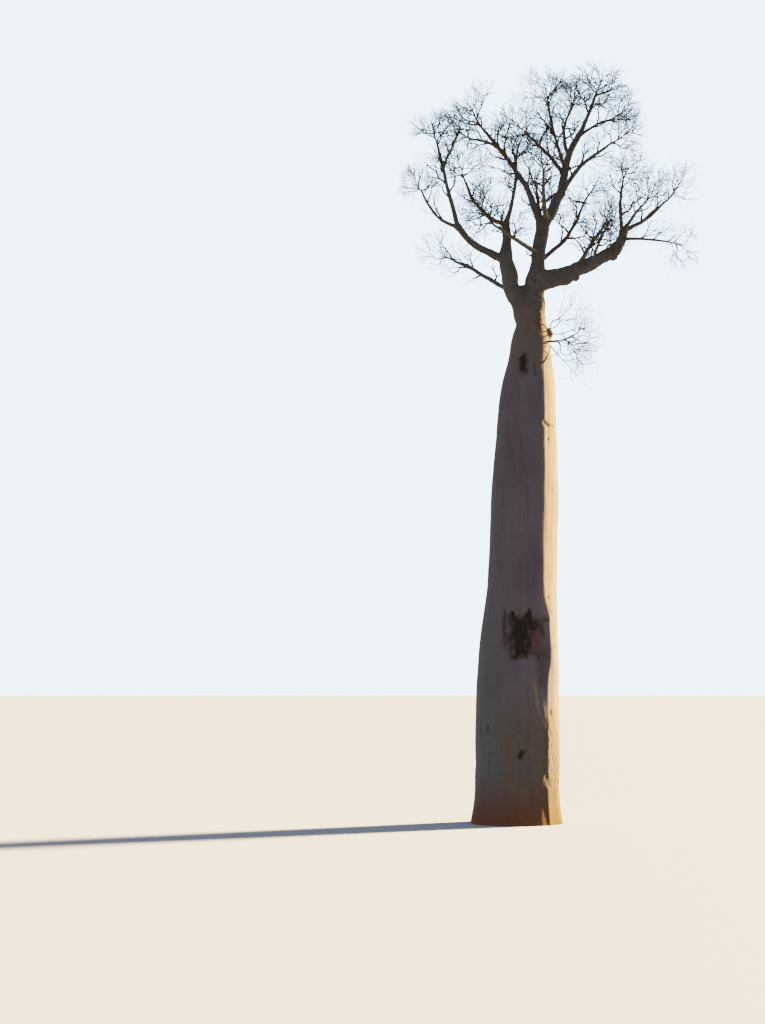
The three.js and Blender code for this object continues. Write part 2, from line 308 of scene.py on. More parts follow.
# The trunk's stations: height, radius there and how far the middle has leaned to +X
trunk = {
    "stations": [
        (0, 1.15, 0), (0.42, 1.098, 0.005), (2.1, 1.072, 0.027), (3.2, 1.065, 0.035),
        (4.4, 1.025, 0.07), (5.7, 0.925, 0.145), (7, 0.868, 0.205), (8.3, 0.862, 0.25),
        (9.6, 0.806, 0.29), (10.9, 0.728, 0.34), (11.45, 0.66, 0.375), (11.95, 0.56, 0.41),
        (12.5, 0.49, 0.435), (12.95, 0.375, 0.45), (13.33, 0.325, 0.43), (13.43, 0.205, 0.43),
    ],
    "joints": 25,
    "fineSteps": 2000,  # of the curve that its profiles are read from
    # The flare at its foot: how much it swells, how high, all round and in lobes
    "flareSwell": 0.05,
    "flareHeight": 0.85,
    "flareRound": 0.6,
    "flareLobes": (3, 5, 8),
    "flarePhase": 1.7,
    "sides": 228,
    "rings": 390,
    "profileRings": 600,
    "latheTop": 12.3,  # the neck goes on from here, welded to the boughs
    "top": 13.08,  # and the boughs' piece from here
}


def curvePoints(points, count):
    # Evenly spaced points on a Catmull-Rom curve whose knots are a chord apart
    points = np.array(points, float)
    ends = np.vstack([2 * points[0] - points[1], points, 2 * points[-1] - points[-2]])
    fine = []
    pieces = 60
    for index in range(len(points) - 1):
        before, here, after, beyond = ends[index:index + 4]
        gaps = [np.linalg.norm(here - before), np.linalg.norm(after - here), np.linalg.norm(beyond - after)]
        leave = (here - before) / gaps[0] - (after - before) / (gaps[0] + gaps[1]) + (after - here) / gaps[1]
        arrive = (after - here) / gaps[1] - (beyond - here) / (gaps[1] + gaps[2]) + (beyond - after) / gaps[2]
        leave, arrive = leave * gaps[1], arrive * gaps[1]
        for share in np.arange(pieces) / pieces:
            square, cube = share ** 2, share ** 3
            fine.append(
                here + leave * share
                + (3 * (after - here) - 2 * leave - arrive) * square
                + (2 * (here - after) + leave + arrive) * cube
            )
    fine = np.array(fine + [points[-1]])
    along = np.concatenate([[0], np.cumsum(np.linalg.norm(np.diff(fine, axis=0), axis=1))])
    wanted = np.linspace(0, along[-1], count + 1)
    return np.stack([np.interp(wanted, along, fine[:, axis]) for axis in range(fine.shape[1])], axis=1)


trunkKnots = [(lean, radius, height) for height, radius, lean in trunk["stations"]]
fineTrunk = curvePoints(trunkKnots, trunk["fineSteps"])


def trunkLimb():
    stations = curvePoints(trunkKnots, trunk["joints"])
    return Limb([Vector((lean, 0, height)) for lean, _, height in stations], [row[1] for row in stations])


def trunkProfile(low, high, count):
    heights = np.linspace(low, high, count + 1)
    leans, radii = (np.interp(heights, fineTrunk[:, 2], fineTrunk[:, axis]) for axis in (0, 1))
    return heights, radii, leans


# Boughs. Each leaves a point on its parent at a heading (0 is +X, 90 is +Y) and a climb over level,
# and bends evenly by turn and lift on its way to its tip. foot and tip are its radii there,
# reach is that of the twig mass on its tip and hang is how much that mass droops.
boughColumns = "name parent at heading climb turn lift length foot tip reach hang".split()
boughRows = [
    ("left_bough", "trunk", 0.953, 172, 58, -8, 22, 1.9, 0.265, 0.185, 0, 0),
    ("leader", "trunk", 0.957, 5, 84, 5, -2, 2.6, 0.25, 0.172, 0, 0),
    ("right_bough", "leader", 0.41, -10, 0, 0, 38, 2.3, 0.235, 0.145, 0, 0),
    ("right_bend", "right_bough", 0.95, 5, 58, -5, 15, 0.72, 0.13, 0.105, 0, 0),
    ("upper_leader", "leader", 1, 15, 55, 0, 10, 1.05, 0.16, 0.118, 0, 0),
    ("left_outer_bough", "left_bough", 1, -167, 8, 15, 42, 1.65, 0.12, 0.084, 0, 0),
    ("left_high_bough", "left_outer_bough", 1, -135, 70, 5, 0, 1.95, 0.066, 0.04, 0.85, 0),
    ("left_fork_bough", "left_high_bough", 0.8, 65, 55, 5, -10, 1.2, 0.044, 0.034, 0.75, 0),
    ("left_low_bough", "left_outer_bough", 0.97, 155, 20, -25, 40, 1.5, 0.054, 0.036, 0.76, 0),
    ("left_inner_bough", "left_bough", 0.97, 95, 70, -15, -5, 1.2, 0.14, 0.11, 0, 0),
    ("left_back_bough", "left_inner_bough", 0.95, 135, 20, -20, 35, 2.35, 0.068, 0.038, 1.1, 0),
    ("left_front_bough", "left_inner_bough", 0.98, -65, 55, -25, -30, 1.7, 0.062, 0.038, 0.9, 0),
    ("low_left_bough", "left_bough", 0.45, 150, 35, -20, -10, 2.3, 0.072, 0.04, 1.05, 0),
    ("top_left_bough", "leader", 0.97, -140, 65, -10, -25, 2.85, 0.098, 0.046, 1, 0),
    ("mid_left_bough", "top_left_bough", 0.8, -110, 5, -20, -10, 1.25, 0.046, 0.034, 0.9, 0),
    ("top_bough", "upper_leader", 1, 45, 80, -15, -20, 1.75, 0.106, 0.08, 0, 0),
    ("summit_bough", "top_bough", 1, 20, 60, 5, 10, 1, 0.068, 0.044, 0.93, 0),
    ("summit_side_bough", "top_bough", 0.97, -40, 25, -15, -30, 1.1, 0.046, 0.034, 0.85, 0),
    ("right_high_bough", "upper_leader", 0.97, -50, 42, 5, -28, 1.85, 0.074, 0.04, 0.95, 0),
    ("back_left_bough", "top_bough", 0.3, 130, 48, -15, -15, 2.1, 0.062, 0.038, 1.05, 0),
    ("inner_high_bough", "top_bough", 0.4, -125, 50, 20, 0, 1.55, 0.054, 0.036, 0.85, 0),
    ("top_back_bough", "top_bough", 0.62, 115, 50, -55, 0, 2, 0.056, 0.036, 0.9, 0),
    ("front_bough", "upper_leader", 0.2, -95, 5, 5, 15, 2.25, 0.074, 0.042, 1.1, 0),
    ("right_inner_bough", "leader", 0.62, 35, 30, 30, 25, 2.45, 0.066, 0.04, 0.95, 0),
    ("low_front_bough", "leader", 0.68, -120, 10, 5, -5, 2.25, 0.072, 0.042, 1.1, 0),
    ("back_bough", "leader", 0.85, 90, 40, 5, 5, 2.55, 0.08, 0.042, 1.1, 0),
    ("right_back_bough", "right_bough", 0.45, 70, 40, -5, -5, 2.6, 0.076, 0.042, 1.05, 0),
    ("right_upright_bough", "right_bend", 0.75, 100, 65, -25, -20, 1.9, 0.056, 0.034, 0.85, 0),
    ("right_front_bough", "right_bend", 0.9, -75, 20, 5, -10, 1.25, 0.054, 0.034, 1, 0),
    ("right_outer_bough", "right_bend", 0.85, 10, 25, 30, 20, 1.4, 0.06, 0.036, 1.02, 0),
    ("right_low_bough", "right_bend", 0.55, -30, -5, -10, -10, 1.2, 0.05, 0.03, 0.85, 0.22),
    ("right_spur", "right_bough", 0.66, -75, 50, 5, -25, 1, 0.05, 0.034, 0.8, 0),
]
boughs = [dict(zip(boughColumns, row)) for row in boughRows]
boughJointSpacing = 0.42
boughLook = {
    "steps": 6,  # rings laid between two joints
    "sides": 16,
    "collar": 0.32,  # swelling where a bough leaves its parent
    "collarReach": 1.1,
    "wander": 0.6,  # sideways wander as a share of the radius
    "wanderScale": 1.9,
    "knobs": 0.16,
    "knobScale": 3.4,
    "arched": {"right_bough": 0.13},  # how far its middle stands over a straight line
    "voxel": 0.0195,
    "smoothing": 3,
    "neckFrom": 11.9,
    "neckSides": 64,
    "neckRings": 24,
    "forkHeights": (12.45, 13.9),  # smoothed more
    "forkSmoothing": 26,
    "rimSnap": 0.45,  # how near to a cut a place goes onto it, in voxels
    "rimReach": 0.005,  # and how near to it bark stands out level
    "latheFade": 0.3,  # the height over which the trunk's own shape goes over into the welded one
    "leanRings": 100,
    "fullGirth": 0.25,  # bears the trunk's relief, and thinner boughs bear less from these heights on
    "slimHeights": (13.1, 13.6),
    "fineHeights": (12.5, 13.3),
    "fineRelief": [(0.06, 6, 1, 2), (0.04, 15, 1, 6)],
    "redGirth": 0.35,  # the neck's, for the width of its red stains
}


def boughLimb(row, parent):
    count = max(2, round(row["length"] / boughJointSpacing))
    foot = parent.point(row["at"])
    if row["at"] == 1:
        way = direction(row["heading"], row["climb"])
        foot = foot - way * (row["foot"] * math.tan(parent.way(1).angle(way) / 2))
    joints = [foot]
    radii = [row["foot"]]
    for joint in range(count):
        share = (joint + 0.5) / count
        way = direction(row["heading"] + row["turn"] * share, row["climb"] + row["lift"] * share)
        joints.append(joints[joint] + way * (row["length"] / count))
        radii.append(row["foot"] + (row["tip"] - row["foot"]) * (joint + 1) / count)
    return Limb(joints, radii)


def smoothPath(joints, steps):
    # A curve through the joints that keeps each joint's share of the way
    ends = [2 * joints[0] - joints[1], *joints, 2 * joints[-1] - joints[-2]]
    path = []
    for index in range(len(joints) - 1):
        before, here, after, beyond = ends[index:index + 4]
        for step in range(steps):
            share = step / steps
            path.append(0.5 * (
                2 * here + (after - before) * share
                + (2 * before - 5 * here + 4 * after - beyond) * share ** 2
                + (3 * here - before - 3 * after + beyond) * share ** 3
            ))
    path.append(joints[-1].copy())
    return path


def addTube(shape, path, radii, sides):
    # A ring is pushed out along the path step by step, and both ends are closed
    ways = [(path[min(i + 1, len(path) - 1)] - path[max(i - 1, 0)]).normalized() for i in range(len(path))]
    across = ways[0].orthogonal().normalized()
    placings = []
    for point, way, radius in zip(path, ways, radii):
        across = (across - way * across.dot(way)).normalized()
        turned = Matrix((across, way.cross(across), way)).transposed().to_4x4()
        placings.append(Matrix.Translation(point) @ turned @ Matrix.Scale(radius, 4))
    rim = bmesh.ops.create_circle(shape, cap_ends=True, segments=sides, radius=1, matrix=placings[0])
    edges = list({edge for vert in rim["verts"] for edge in vert.link_edges})
    for before, after in zip(placings, placings[1:]):
        made = bmesh.ops.extrude_edge_only(shape, edges=edges)["geom"]
        ring = [part for part in made if isinstance(part, bmesh.types.BMVert)]
        edges = [
            part for part in made
            if isinstance(part, bmesh.types.BMEdge) and all(vert in ring for vert in part.verts)
        ]
        bmesh.ops.transform(shape, matrix=after @ before.inverted(), verts=ring)
    bmesh.ops.contextual_create(shape, geom=edges)


def drift(place, scale):
    # A sideways wander that is steady in space
    return Vector([noise.noise(place * scale + Vector((0, 0, shift))) for shift in (0, 37, 71)])


def boughPath(row, limb):
    # The limb's line with a slight wander, and its radii with a collar at the foot and knobs
    path = smoothPath(limb.joints, boughLook["steps"])
    last = len(path) - 1
    parentRadius = 0 if row["at"] == 1 else limbs[row["parent"]].radius(row["at"])
    places = []
    radii = []
    for index, point in enumerate(path):
        share = index / last
        radius = limb.radius(share)
        middle = math.sin(math.pi * share)
        loose = middle ** 0.5 * boughLook["wander"] * radius
        raised = Vector((0, 0, boughLook["arched"].get(row["name"], 0) * middle))
        places.append(point + drift(point, boughLook["wanderScale"]) * loose + raised)
        out = max(0, share * row["length"] - parentRadius)
        collar = boughLook["collar"] * math.exp(-out / (boughLook["collarReach"] * row["foot"]))
        knob = boughLook["knobs"] * noise.noise(point * boughLook["knobScale"]) * middle
        radii.append(radius * (1 + (collar if parentRadius else 0) + knob))
    return places, radii


limbs = {"trunk": trunkLimb()}
drawn = {}
for row in boughs:
    limbs[row["name"]] = boughLimb(row, limbs[row["parent"]])
    drawn[row["name"]] = Limb(*boughPath(row, limbs[row["name"]]))


# Bark relief. Lumps and folds are shared by the trunk and the boughs, so that they meet.

# Layers of clouds are rows of strength, scale, stretch across the height and shift
barkRelief = {
    "lumps": [(0.016, 1.1, 1, 0), (0.009, 2.9, 0.6, 5)],
    "folds": [(0.012, 2.3, 0.14, 0), (0.007, 6.5, 0.12, 3)],
    "foldsEnd": 14,
    "foldsFade": 1,
    "neckFolds": [(0.012, 5.2, 0.16, 8)],
    "neckHeights": (11.6, 12.8),
    "topFade": 0.8,  # below latheTop, where what only the trunk has dies out
    "grain": [(0.0025, 19, 1, 0)],
    "creaseLevels": [(1, 0.8, 5.5, 11)],  # a crease runs where these are nought
    "creaseWidth": 0.07,
    "creaseDepth": 0.007,
    "creasePatches": ([(1, 1.3, 1, 7)], -0.1, 0.35),
    "foot": [(0.02, 7, 0.6, 0), (0.012, 15, 1, 0)],
    "footTop": 2.6,
    "footFade": 1.5,
    "footPatches": ([(1, 0.9, 0.5, 2)], -0.2, 0.4),
    # What frays the rims of holes
    "fine": [(1, 14, 0.7, 9), (0.5, 29, 1, 6)],
    "ragged": [(1, 3.4, 0.6, 4), (0.5, 9, 0.5, 1)],
}


def cloudAt(points, layers):
    return sum(
        strength * np.array([
            noise.noise(Vector((x * scale, y * scale, z * scale * stretch + shift))) for x, y, z in points
        ])
        for strength, scale, stretch, shift in layers
    )


def smoothStep(value, low, high):
    share = np.clip((value - low) / (high - low), 0, 1)
    return share * share * (3 - 2 * share)


def patchAt(points, layers, low, high):
    return smoothStep(cloudAt(points, layers), low, high)


def bell(away):
    return np.exp(-away ** 2)


def unit(rows):
    return rows / np.linalg.norm(rows, axis=-1, keepdims=True)


def turnedFrom(facing, degrees):
    return (facing - np.radians(degrees) + math.pi) % (2 * math.pi) - math.pi


def sharedRelief(points):
    # Lumps everywhere, and upright folds on the trunk that die out above its neck
    relief = barkRelief
    neck = smoothStep(points[:, 2], *relief["neckHeights"])
    folds = cloudAt(points, relief["folds"]) + neck * cloudAt(points, relief["neckFolds"])
    fade = smoothStep(relief["foldsEnd"] - points[:, 2], 0, relief["foldsFade"])
    return cloudAt(points, relief["lumps"]) + fade * folds


# Lines over the bark are rows of facings (0 to the camera, 90 to +X) and heights
trunkMarks = {
    "hollows": [
        # Holes and scars, lower ones first, darkened inside with painted shade, and a patch of painted shade
        # below the wound, which has no depth
        {"line": [(7, 1.84), (3, 1.72)], "width": 0.07, "depth": 0.04, "dark": 0.85},
        {"line": [(-44, 2.46), (-44, 2.4)], "width": 0.07, "depth": 0.02, "dark": 0.6},
        {"line": [(54, 2.86), (54, 2.8)], "width": 0.05, "depth": 0.03, "dark": 0.55},
        {"line": [(50, 2.34), (51, 2.26)], "width": 0.04, "depth": 0.015, "dark": 0.45},
        {"line": [(47, 1.22), (49, 1.02)], "width": 0.07, "depth": 0.03, "dark": 0.6},
        {"line": [(36, 10.2), (48, 10.13), (66, 10.14)], "width": 0.045, "depth": 0.03, "dark": 0.9},
        {"line": [(-18, 11.9), (-15, 11.62)], "width": 0.14, "depth": 0.02, "dark": 0.85},
        {"line": [(10, 11.75), (13, 11.45)], "width": 0.06, "depth": 0.01, "dark": 0.4},
        {"line": [(38, 4.3), (37, 3.95), (36, 3.6)], "width": 0.2, "depth": 0, "dark": 0.42},
    ],
    "folds": [
        # right is how far a ridge or groove spreads to the right of its line, left to the left
        {"line": [(-4, 3.98), (7, 4.14), (17, 4.08), (23, 3.82), (27, 3.4), (31, 3), (41, 2.66), (54, 2.34)],
         "left": 0.4, "right": 0.16, "rise": 0.014},
        {"line": [(-27, 5.5), (-29, 4.9), (-22, 4.2)], "left": 0.08, "right": 0.08, "rise": 0.02},
        {"line": [(55, 5.5), (54, 4.8), (57, 4.0)], "left": 0.1, "right": 0.1, "rise": 0.02},
    ],
    # Long flat faces, with what they face and their half width at each height.
    # They meet where the sun starts.
    "flats": [
        {"heights": (0, 1.2, 3.5, 4.2, 5.2, 6.2), "facings": (24, 27, 30, 30, 30, 30),
         "halfWidths": (25, 21, 17, 21, 19, 0), "share": 1},
        {"heights": (0, 1.2, 3.5, 4.2, 5.2, 6.2, 13), "facings": (72, 71, 71, 73, 71, 65, 65),
         "halfWidths": (24, 24, 24, 22, 22, 28, 28), "share": 0.55},
    ],
    # A painted highlight along the ridge under the wound
    "paintedHighlightLine": {
        "line": [(24, 3.6), (27, 3.25), (30, 2.93), (35, 2.7), (45, 2.42)],
        "width": 0.045,
        "frayed": 0.5,
        "pale": 0.8,
    },
    # Small pits on the sunny side, darkened inside with painted shade: facing, height, half width, half
    # height, depth
    "pits": [
        (56, 1.98, 0.03, 0.04, 0.03), (60, 1.63, 0.04, 0.04, 0.03), (66, 1.42, 0.05, 0.04, 0.03),
        (47, 9.78, 0.035, 0.05, 0.03), (50, 5.73, 0.04, 0.05, 0.03), (55, 5.36, 0.03, 0.06, 0.03),
        (62, 4.83, 0.05, 0.07, 0.03), (66, 4.48, 0.05, 0.05, 0.03), (63, 3.83, 0.04, 0.05, 0.03),
        (58, 8.5, 0.03, 0.05, 0.03), (66, 7.6, 0.05, 0.03, 0.03), (52, 6.9, 0.03, 0.04, 0.03),
    ],
    # Stains: facing, height, half width, half height, how strong
    "red": [
        (-24, 4.66, 0.07, 0.4, 0.35), (31, 4.7, 0.13, 0.38, 0.9), (30, 12.85, 0.12, 0.32, 0.7),
        (88, 12.5, 0.14, 0.2, 1.0), (14, 6.9, 0.4, 1.1, 0.28),
    ],
    # More pits round the sides and back, and the ranges that their measures are drawn from
    "morePits": 40,
    "morePitsIn": [(75, 300), (0.7, 12), (0.025, 0.06), (0.025, 0.09), (0.01, 0.035)],
    "pitSeed": 8,
    "pitRim": (0.1, 1.3),
    "pitFrayed": 0.9,
    "pitDepth": 0.7,
    # painted shade inside each pit
    "pitDark": 0.6,
    "hollowFrayed": (0.35, 0.45),  # by ragged and by fine clouds
    # Painted sunlight, paler and warmer bark, starts at the first facing, is full from the second to the
    # third and ends at the last.
    # Below the wound only the far side has it.
    "sunny": (26, 42, 130, 170),
    "farSide": (54, 76),
    "farSideHeights": (1.3, 3.4),
    "wholeSideHeights": (4.2, 6.5),
    "paintedSunlightEnds": (12.8, 13.3),
}
trunkWound = {
    "facing": 10,
    "height": 4.71,
    "halfWidth": 0.62,
    "halfHeight": 0.58,
    "squareness": 2.6,
    "rim": (0.76, 1.08),
    "rimClouds": [(0.3, 3.1, 1, 21), (0.18, 9, 1, 23)],
    "depth": 0.05,
    # Tongues over its upper rim: across, half width, how far up
    "tongues": [(-0.6, 0.045, 0.5), (-0.38, 0.06, 0.26), (0.05, 0.07, 0.36)],
    "tongueRoots": (0, 0.8),
    # Its deep core, wider higher up, and the arch over that, both darkened with painted shade
    "tornClouds": [(1, 6, 1, 27), (0.5, 15, 1, 28)],
    "coreAcross": -0.13,
    "coreWidth": 0.25,
    "coreWidens": (1.05, 0.2),
    "coreSquareness": 2.5,
    "coreFoot": (-1.05, -0.6),
    "coreTorn": (0.1, 0.3),  # across and upward
    "coreDepth": 0.08,
    "archUp": 0.6,
    "archHalfHeight": 0.36,
    "archAcross": -0.04,
    "archEnds": (0.3, 0.5),
    "archTorn": (0.06, 0.35),
    "archDark": (0.75, 0.5),  # in its middle, and how much less at its ends
    # Darkness: the worn wood's over the whole wound, with painted shade added in the core and the arch
    "dark": 0.36,
    "coreDark": 0.7,
    "darkClouds": [(0.4, 8, 0.4, 25)],
    "mostDark": 1.1,
}


def woundAt(points, facing, height, radius):
    # How deep the torn hollow is at each place, and how dark: the worn wood's tone, with painted shade in its
    # core and arch
    wound = trunkWound
    across = turnedFrom(facing, wound["facing"]) * radius
    up = (height - wound["height"]) / wound["halfHeight"]
    square = wound["squareness"]
    out = ((np.abs(across) / wound["halfWidth"]) ** square + np.abs(up) ** square) ** (1 / square)
    out += cloudAt(points, wound["rimClouds"])
    for middle, width, reach in wound["tongues"]:
        out -= reach * bell((across - middle) / width) * smoothStep(up, *wound["tongueRoots"])
    inside = 1 - smoothStep(out, *wound["rim"])

    torn = cloudAt(points, wound["tornClouds"])
    tornAcross, tornUp = (part * torn for part in wound["coreTorn"])
    least, wider = wound["coreWidens"]
    coreWidth = wound["coreWidth"] * (least + wider * np.clip(up, -1, 1))
    off = np.abs(across - wound["coreAcross"] + tornAcross) / coreWidth
    core = np.exp(-off ** wound["coreSquareness"]) * smoothStep(up + tornUp, *wound["coreFoot"])
    tornAcross, tornUp = (part * torn for part in wound["archTorn"])
    middle, less = wound["archDark"]
    ends = smoothStep(np.abs(across - wound["archAcross"]) + tornAcross, *wound["archEnds"])
    arch = bell((up - wound["archUp"] + tornUp) / wound["archHalfHeight"]) * (middle - less * ends)
    # Worn wood's tone, and painted shade in the core and the arch
    shade = wound["dark"] + wound["coreDark"] * np.maximum(core, arch) + cloudAt(points, wound["darkClouds"])
    depth = wound["depth"] + wound["coreDepth"] * core
    return inside * depth, inside * np.clip(shade, 0, wound["mostDark"])


def flatAt(facing, height, radius):
    rise = np.zeros(len(facing))
    for flat in trunkMarks["flats"]:
        half = np.radians(np.interp(height, flat["heights"], flat["halfWidths"]))
        middle = np.interp(height, flat["heights"], flat["facings"])
        away = np.minimum(half, np.abs(turnedFrom(facing, middle)))
        rise += flat["share"] * radius * (np.cos(half) / np.cos(away) - 1)
    return rise


def paintedSunlightAt(facing, height):
    # Painted sunlight: the sunny side is painted paler and warmer up to the neck, all of it over the wound,
    # its far part further down
    start, full, end, none = np.radians(trunkMarks["sunny"])
    sunny = smoothStep(facing, start, full) * (1 - smoothStep(facing, end, none))
    low = smoothStep(facing, *np.radians(trunkMarks["farSide"]))
    low *= smoothStep(height, *trunkMarks["farSideHeights"])
    sunny *= np.maximum(low, smoothStep(height, *trunkMarks["wholeSideHeights"]))
    return sunny * (1 - smoothStep(height, *trunkMarks["paintedSunlightEnds"]))


def alongLine(facing, height, radius, line):
    # How far each place is from a line over the bark, and on which side
    nearest = np.full(len(facing), np.inf)
    side = np.zeros(len(facing))
    for (turnA, heightA), (turnB, heightB) in zip(line, line[1:]):
        half = math.radians(turnB - turnA) / 2 * radius
        across = turnedFrom(facing, (turnA + turnB) / 2) * radius
        rise = heightB - heightA
        share = ((across + half) * 2 * half + (height - heightA) * rise) / (4 * half ** 2 + rise ** 2)
        share = np.clip(share, 0, 1)
        offX = across + half - 2 * half * share
        offZ = height - heightA - rise * share
        away = np.hypot(offX, offZ)
        closer = away < nearest
        nearest = np.where(closer, away, nearest)
        side = np.where(closer, offX, side)
    return nearest, side


def fromSpot(facing, height, radius, spot):
    # How far each place is from a spot on the bark, in its half widths
    turn, middle, halfWidth, halfHeight = spot
    return np.hypot(turnedFrom(facing, turn) * radius / halfWidth, (height - middle) / halfHeight)


def trunkRelief(points, facing, height, radius):
    # How far the bark stands out of the round at each place, how dark it is there from worn wood and painted
    # shade, how red, and how much painted sunlight it has
    relief = barkRelief
    fade = smoothStep(trunk["latheTop"] - height, 0, relief["topFade"])
    rise = sharedRelief(points)
    creases = np.maximum(0, 1 - np.abs(cloudAt(points, relief["creaseLevels"])) / relief["creaseWidth"])
    creases *= patchAt(points, *relief["creasePatches"])
    rise += fade * (cloudAt(points, relief["grain"]) - relief["creaseDepth"] * creases)
    rough = smoothStep(relief["footTop"] - height, 0, relief["footFade"])
    rise += rough * patchAt(points, *relief["footPatches"]) * cloudAt(points, relief["foot"])

    for fold in trunkMarks["folds"]:
        near, side = alongLine(facing, height, radius, fold["line"])
        rise += fold["rise"] * bell(near / np.where(side > 0, fold["right"], fold["left"]))
    depth, dark = woundAt(points, facing, height, radius)
    rise += fade * flatAt(facing, height, radius) - depth
    fine = cloudAt(points, relief["fine"])
    byRagged, byFine = trunkMarks["hollowFrayed"]
    frayed = byRagged * cloudAt(points, relief["ragged"]) + byFine * fine
    for hollow in trunkMarks["hollows"]:
        near = alongLine(facing, height, radius, hollow["line"])[0] / hollow["width"]
        sunk = bell(np.maximum(0, near + frayed))
        rise -= hollow["depth"] * sunk
        # painted shade inside each hollow
        dark = np.maximum(dark, hollow["dark"] * sunk)
    dice = np.random.default_rng(trunkMarks["pitSeed"])
    ranges = trunkMarks["morePitsIn"]
    extra = [[dice.uniform(*span) for span in ranges] for _ in range(trunkMarks["morePits"])]
    for *spot, depth in trunkMarks["pits"] + extra:
        away = fromSpot(facing, height, radius, spot) + trunkMarks["pitFrayed"] * fine
        hole = 1 - smoothStep(away, *trunkMarks["pitRim"])
        rise -= trunkMarks["pitDepth"] * depth * hole
        # painted shade inside each pit
        dark = np.maximum(dark, trunkMarks["pitDark"] * hole)
    # The painted highlight along the ridge under the wound joins the painted sunlight
    pale = trunkMarks["paintedHighlightLine"]
    near = alongLine(facing, height, radius, pale["line"])[0] / pale["width"]
    paintedSunlight = np.maximum(paintedSunlightAt(facing, height), pale["pale"] * bell(near + pale["frayed"] * fine))
    return rise, {"dark": dark, "red": redStain(facing, height, radius), "paintedSunlight": paintedSunlight}


def redStain(facing, height, radius):
    red = np.zeros(len(facing))
    for *spot, strength in trunkMarks["red"]:
        red = np.maximum(red, strength * bell(fromSpot(facing, height, radius, spot)))
    return red


def readVerts(data, what):
    values = np.zeros(len(data.vertices) * 3)
    data.vertices.foreach_get(what, values)
    return values.reshape(-1, 3)


def finishBark(data, places, marks):
    # Moves the places, keeps the marks for the finish and keeps flat ends out of their sides' shading
    data.vertices.foreach_set("co", places.ravel())
    for name, values in marks.items():
        data.attributes.new(name, "FLOAT", "POINT").data.foreach_set("value", values.astype(np.float32))
    data.update()
    smoothShade(data)
    for face in data.polygons:
        if not face.use_smooth:
            for index in face.loop_indices:
                data.edges[data.loops[index].edge_index].use_edge_sharp = True


def flareAt(angle, height):
    counts = trunk["flareLobes"]
    lobes = sum(np.sin(count * angle + trunk["flarePhase"] * index) for index, count in enumerate(counts))
    lobes = trunk["flareRound"] + lobes / len(counts)
    return 1 + trunk["flareSwell"] * np.exp(-height / trunk["flareHeight"]) * lobes


def roundTrunk(angle, height):
    # The trunk's surface before its relief, the way out of it and its radius
    heights, radii, leans = trunkProfile(0, trunk["top"], trunk["profileRings"])
    level = np.zeros(len(angle))
    girth = np.interp(height, heights, radii) * flareAt(angle, height)
    outward = np.stack([np.cos(angle), np.sin(angle), level], axis=1)
    middle = np.stack([np.interp(height, heights, leans), level, height], axis=1)
    return middle + outward * girth[:, None], outward, girth


def makeTrunk(neck):
    heights, radii, _ = trunkProfile(0, trunk["latheTop"], trunk["rings"])
    shape = bmesh.new()
    verts = [shape.verts.new((radius, 0, height)) for radius, height in zip(radii, heights)]
    edges = [shape.edges.new(pair) for pair in zip(verts, verts[1:])]
    bmesh.ops.spin(
        shape, geom=verts + edges, axis=(0, 0, 1), cent=(0, 0, 0),
        steps=trunk["sides"], angle=2 * math.pi, use_merge=True,
    )
    closeRims(shape)
    piece = keep(shape, "trunk_bark", [barkFinish("trunk_bark")])

    x, y, height = readVerts(piece.data, "co").T
    angle = np.arctan2(y, x)
    surface, outward, girth = roundTrunk(angle, height)
    rise, marks = trunkRelief(surface, np.arctan2(x, -y), height, girth)
    finishBark(piece.data, surface + outward * rise[:, None], marks)
    joined = bmesh.new()
    joined.from_mesh(piece.data)
    joined.from_mesh(neck.data)
    joined.to_mesh(piece.data)
    joined.free()
    bpy.data.objects.remove(neck)
    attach(piece, "root")
    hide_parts("trunk")
    print(f"trunk made with {len(piece.data.polygons)} faces")
    return piece


def closeRims(shape):
    bmesh.ops.holes_fill(shape, edges=[edge for edge in shape.edges if edge.is_boundary])
    bmesh.ops.recalc_face_normals(shape, faces=shape.faces)


def smoothShade(data, rimCorners=8):
    # All but the flat ends, which have that many corners or more
    data.polygons.foreach_set("use_smooth", [len(face.vertices) < rimCorners for face in data.polygons])


def remeshed(shape, voxel):
    # Welds overlapping closed shapes into one skin
    raw = keep(shape, "raw", [])
    weld = raw.modifiers.new("weld", "REMESH")
    weld.mode = "VOXEL"
    weld.voxel_size = voxel
    solved = raw.evaluated_get(bpy.context.evaluated_depsgraph_get())
    skin = bmesh.new()
    skin.from_mesh(solved.to_mesh())
    solved.to_mesh_clear()
    bpy.data.objects.remove(raw)
    return skin


# Swellings and stubs on the boughs: bough, share along it, heading, climb, how far out, radius, stretch
boughLumps = [
    ("right_bough", 0.34, -60, -75, 0.13, 0.115, 1.5),
    ("right_bough", 0.46, -60, -80, 0.12, 0.09, 1.2),
    ("right_bough", 0.9, -20, -35, 0.13, 0.085, 1.3),
    ("left_bough", 0.5, 0, 5, 0.22, 0.13, 1.4),
    ("trunk", 0.93, -8, 0, 0.47, 0.12, 1.4),
    ("trunk", 0.938, 30, 0, 0.42, 0.1, 1.2),
    ("left_bough", 0.98, -120, 30, 0.04, 0.17, 1.1),
    ("leader", 0.2, -90, 0, 0.10, 0.17, 1.4),
    ("leader", 0.98, -120, 40, 0.03, 0.17, 1.1),
    ("upper_leader", 0.96, -60, 20, 0.03, 0.13, 1.1),
    ("right_bend", 0.8, -60, 30, 0.02, 0.125, 1.2),
    ("top_left_bough", 0.78, -90, 0, 0.01, 0.075, 1.3),
    ("left_outer_bough", 0.97, -90, 10, 0.01, 0.1, 1.2),
]


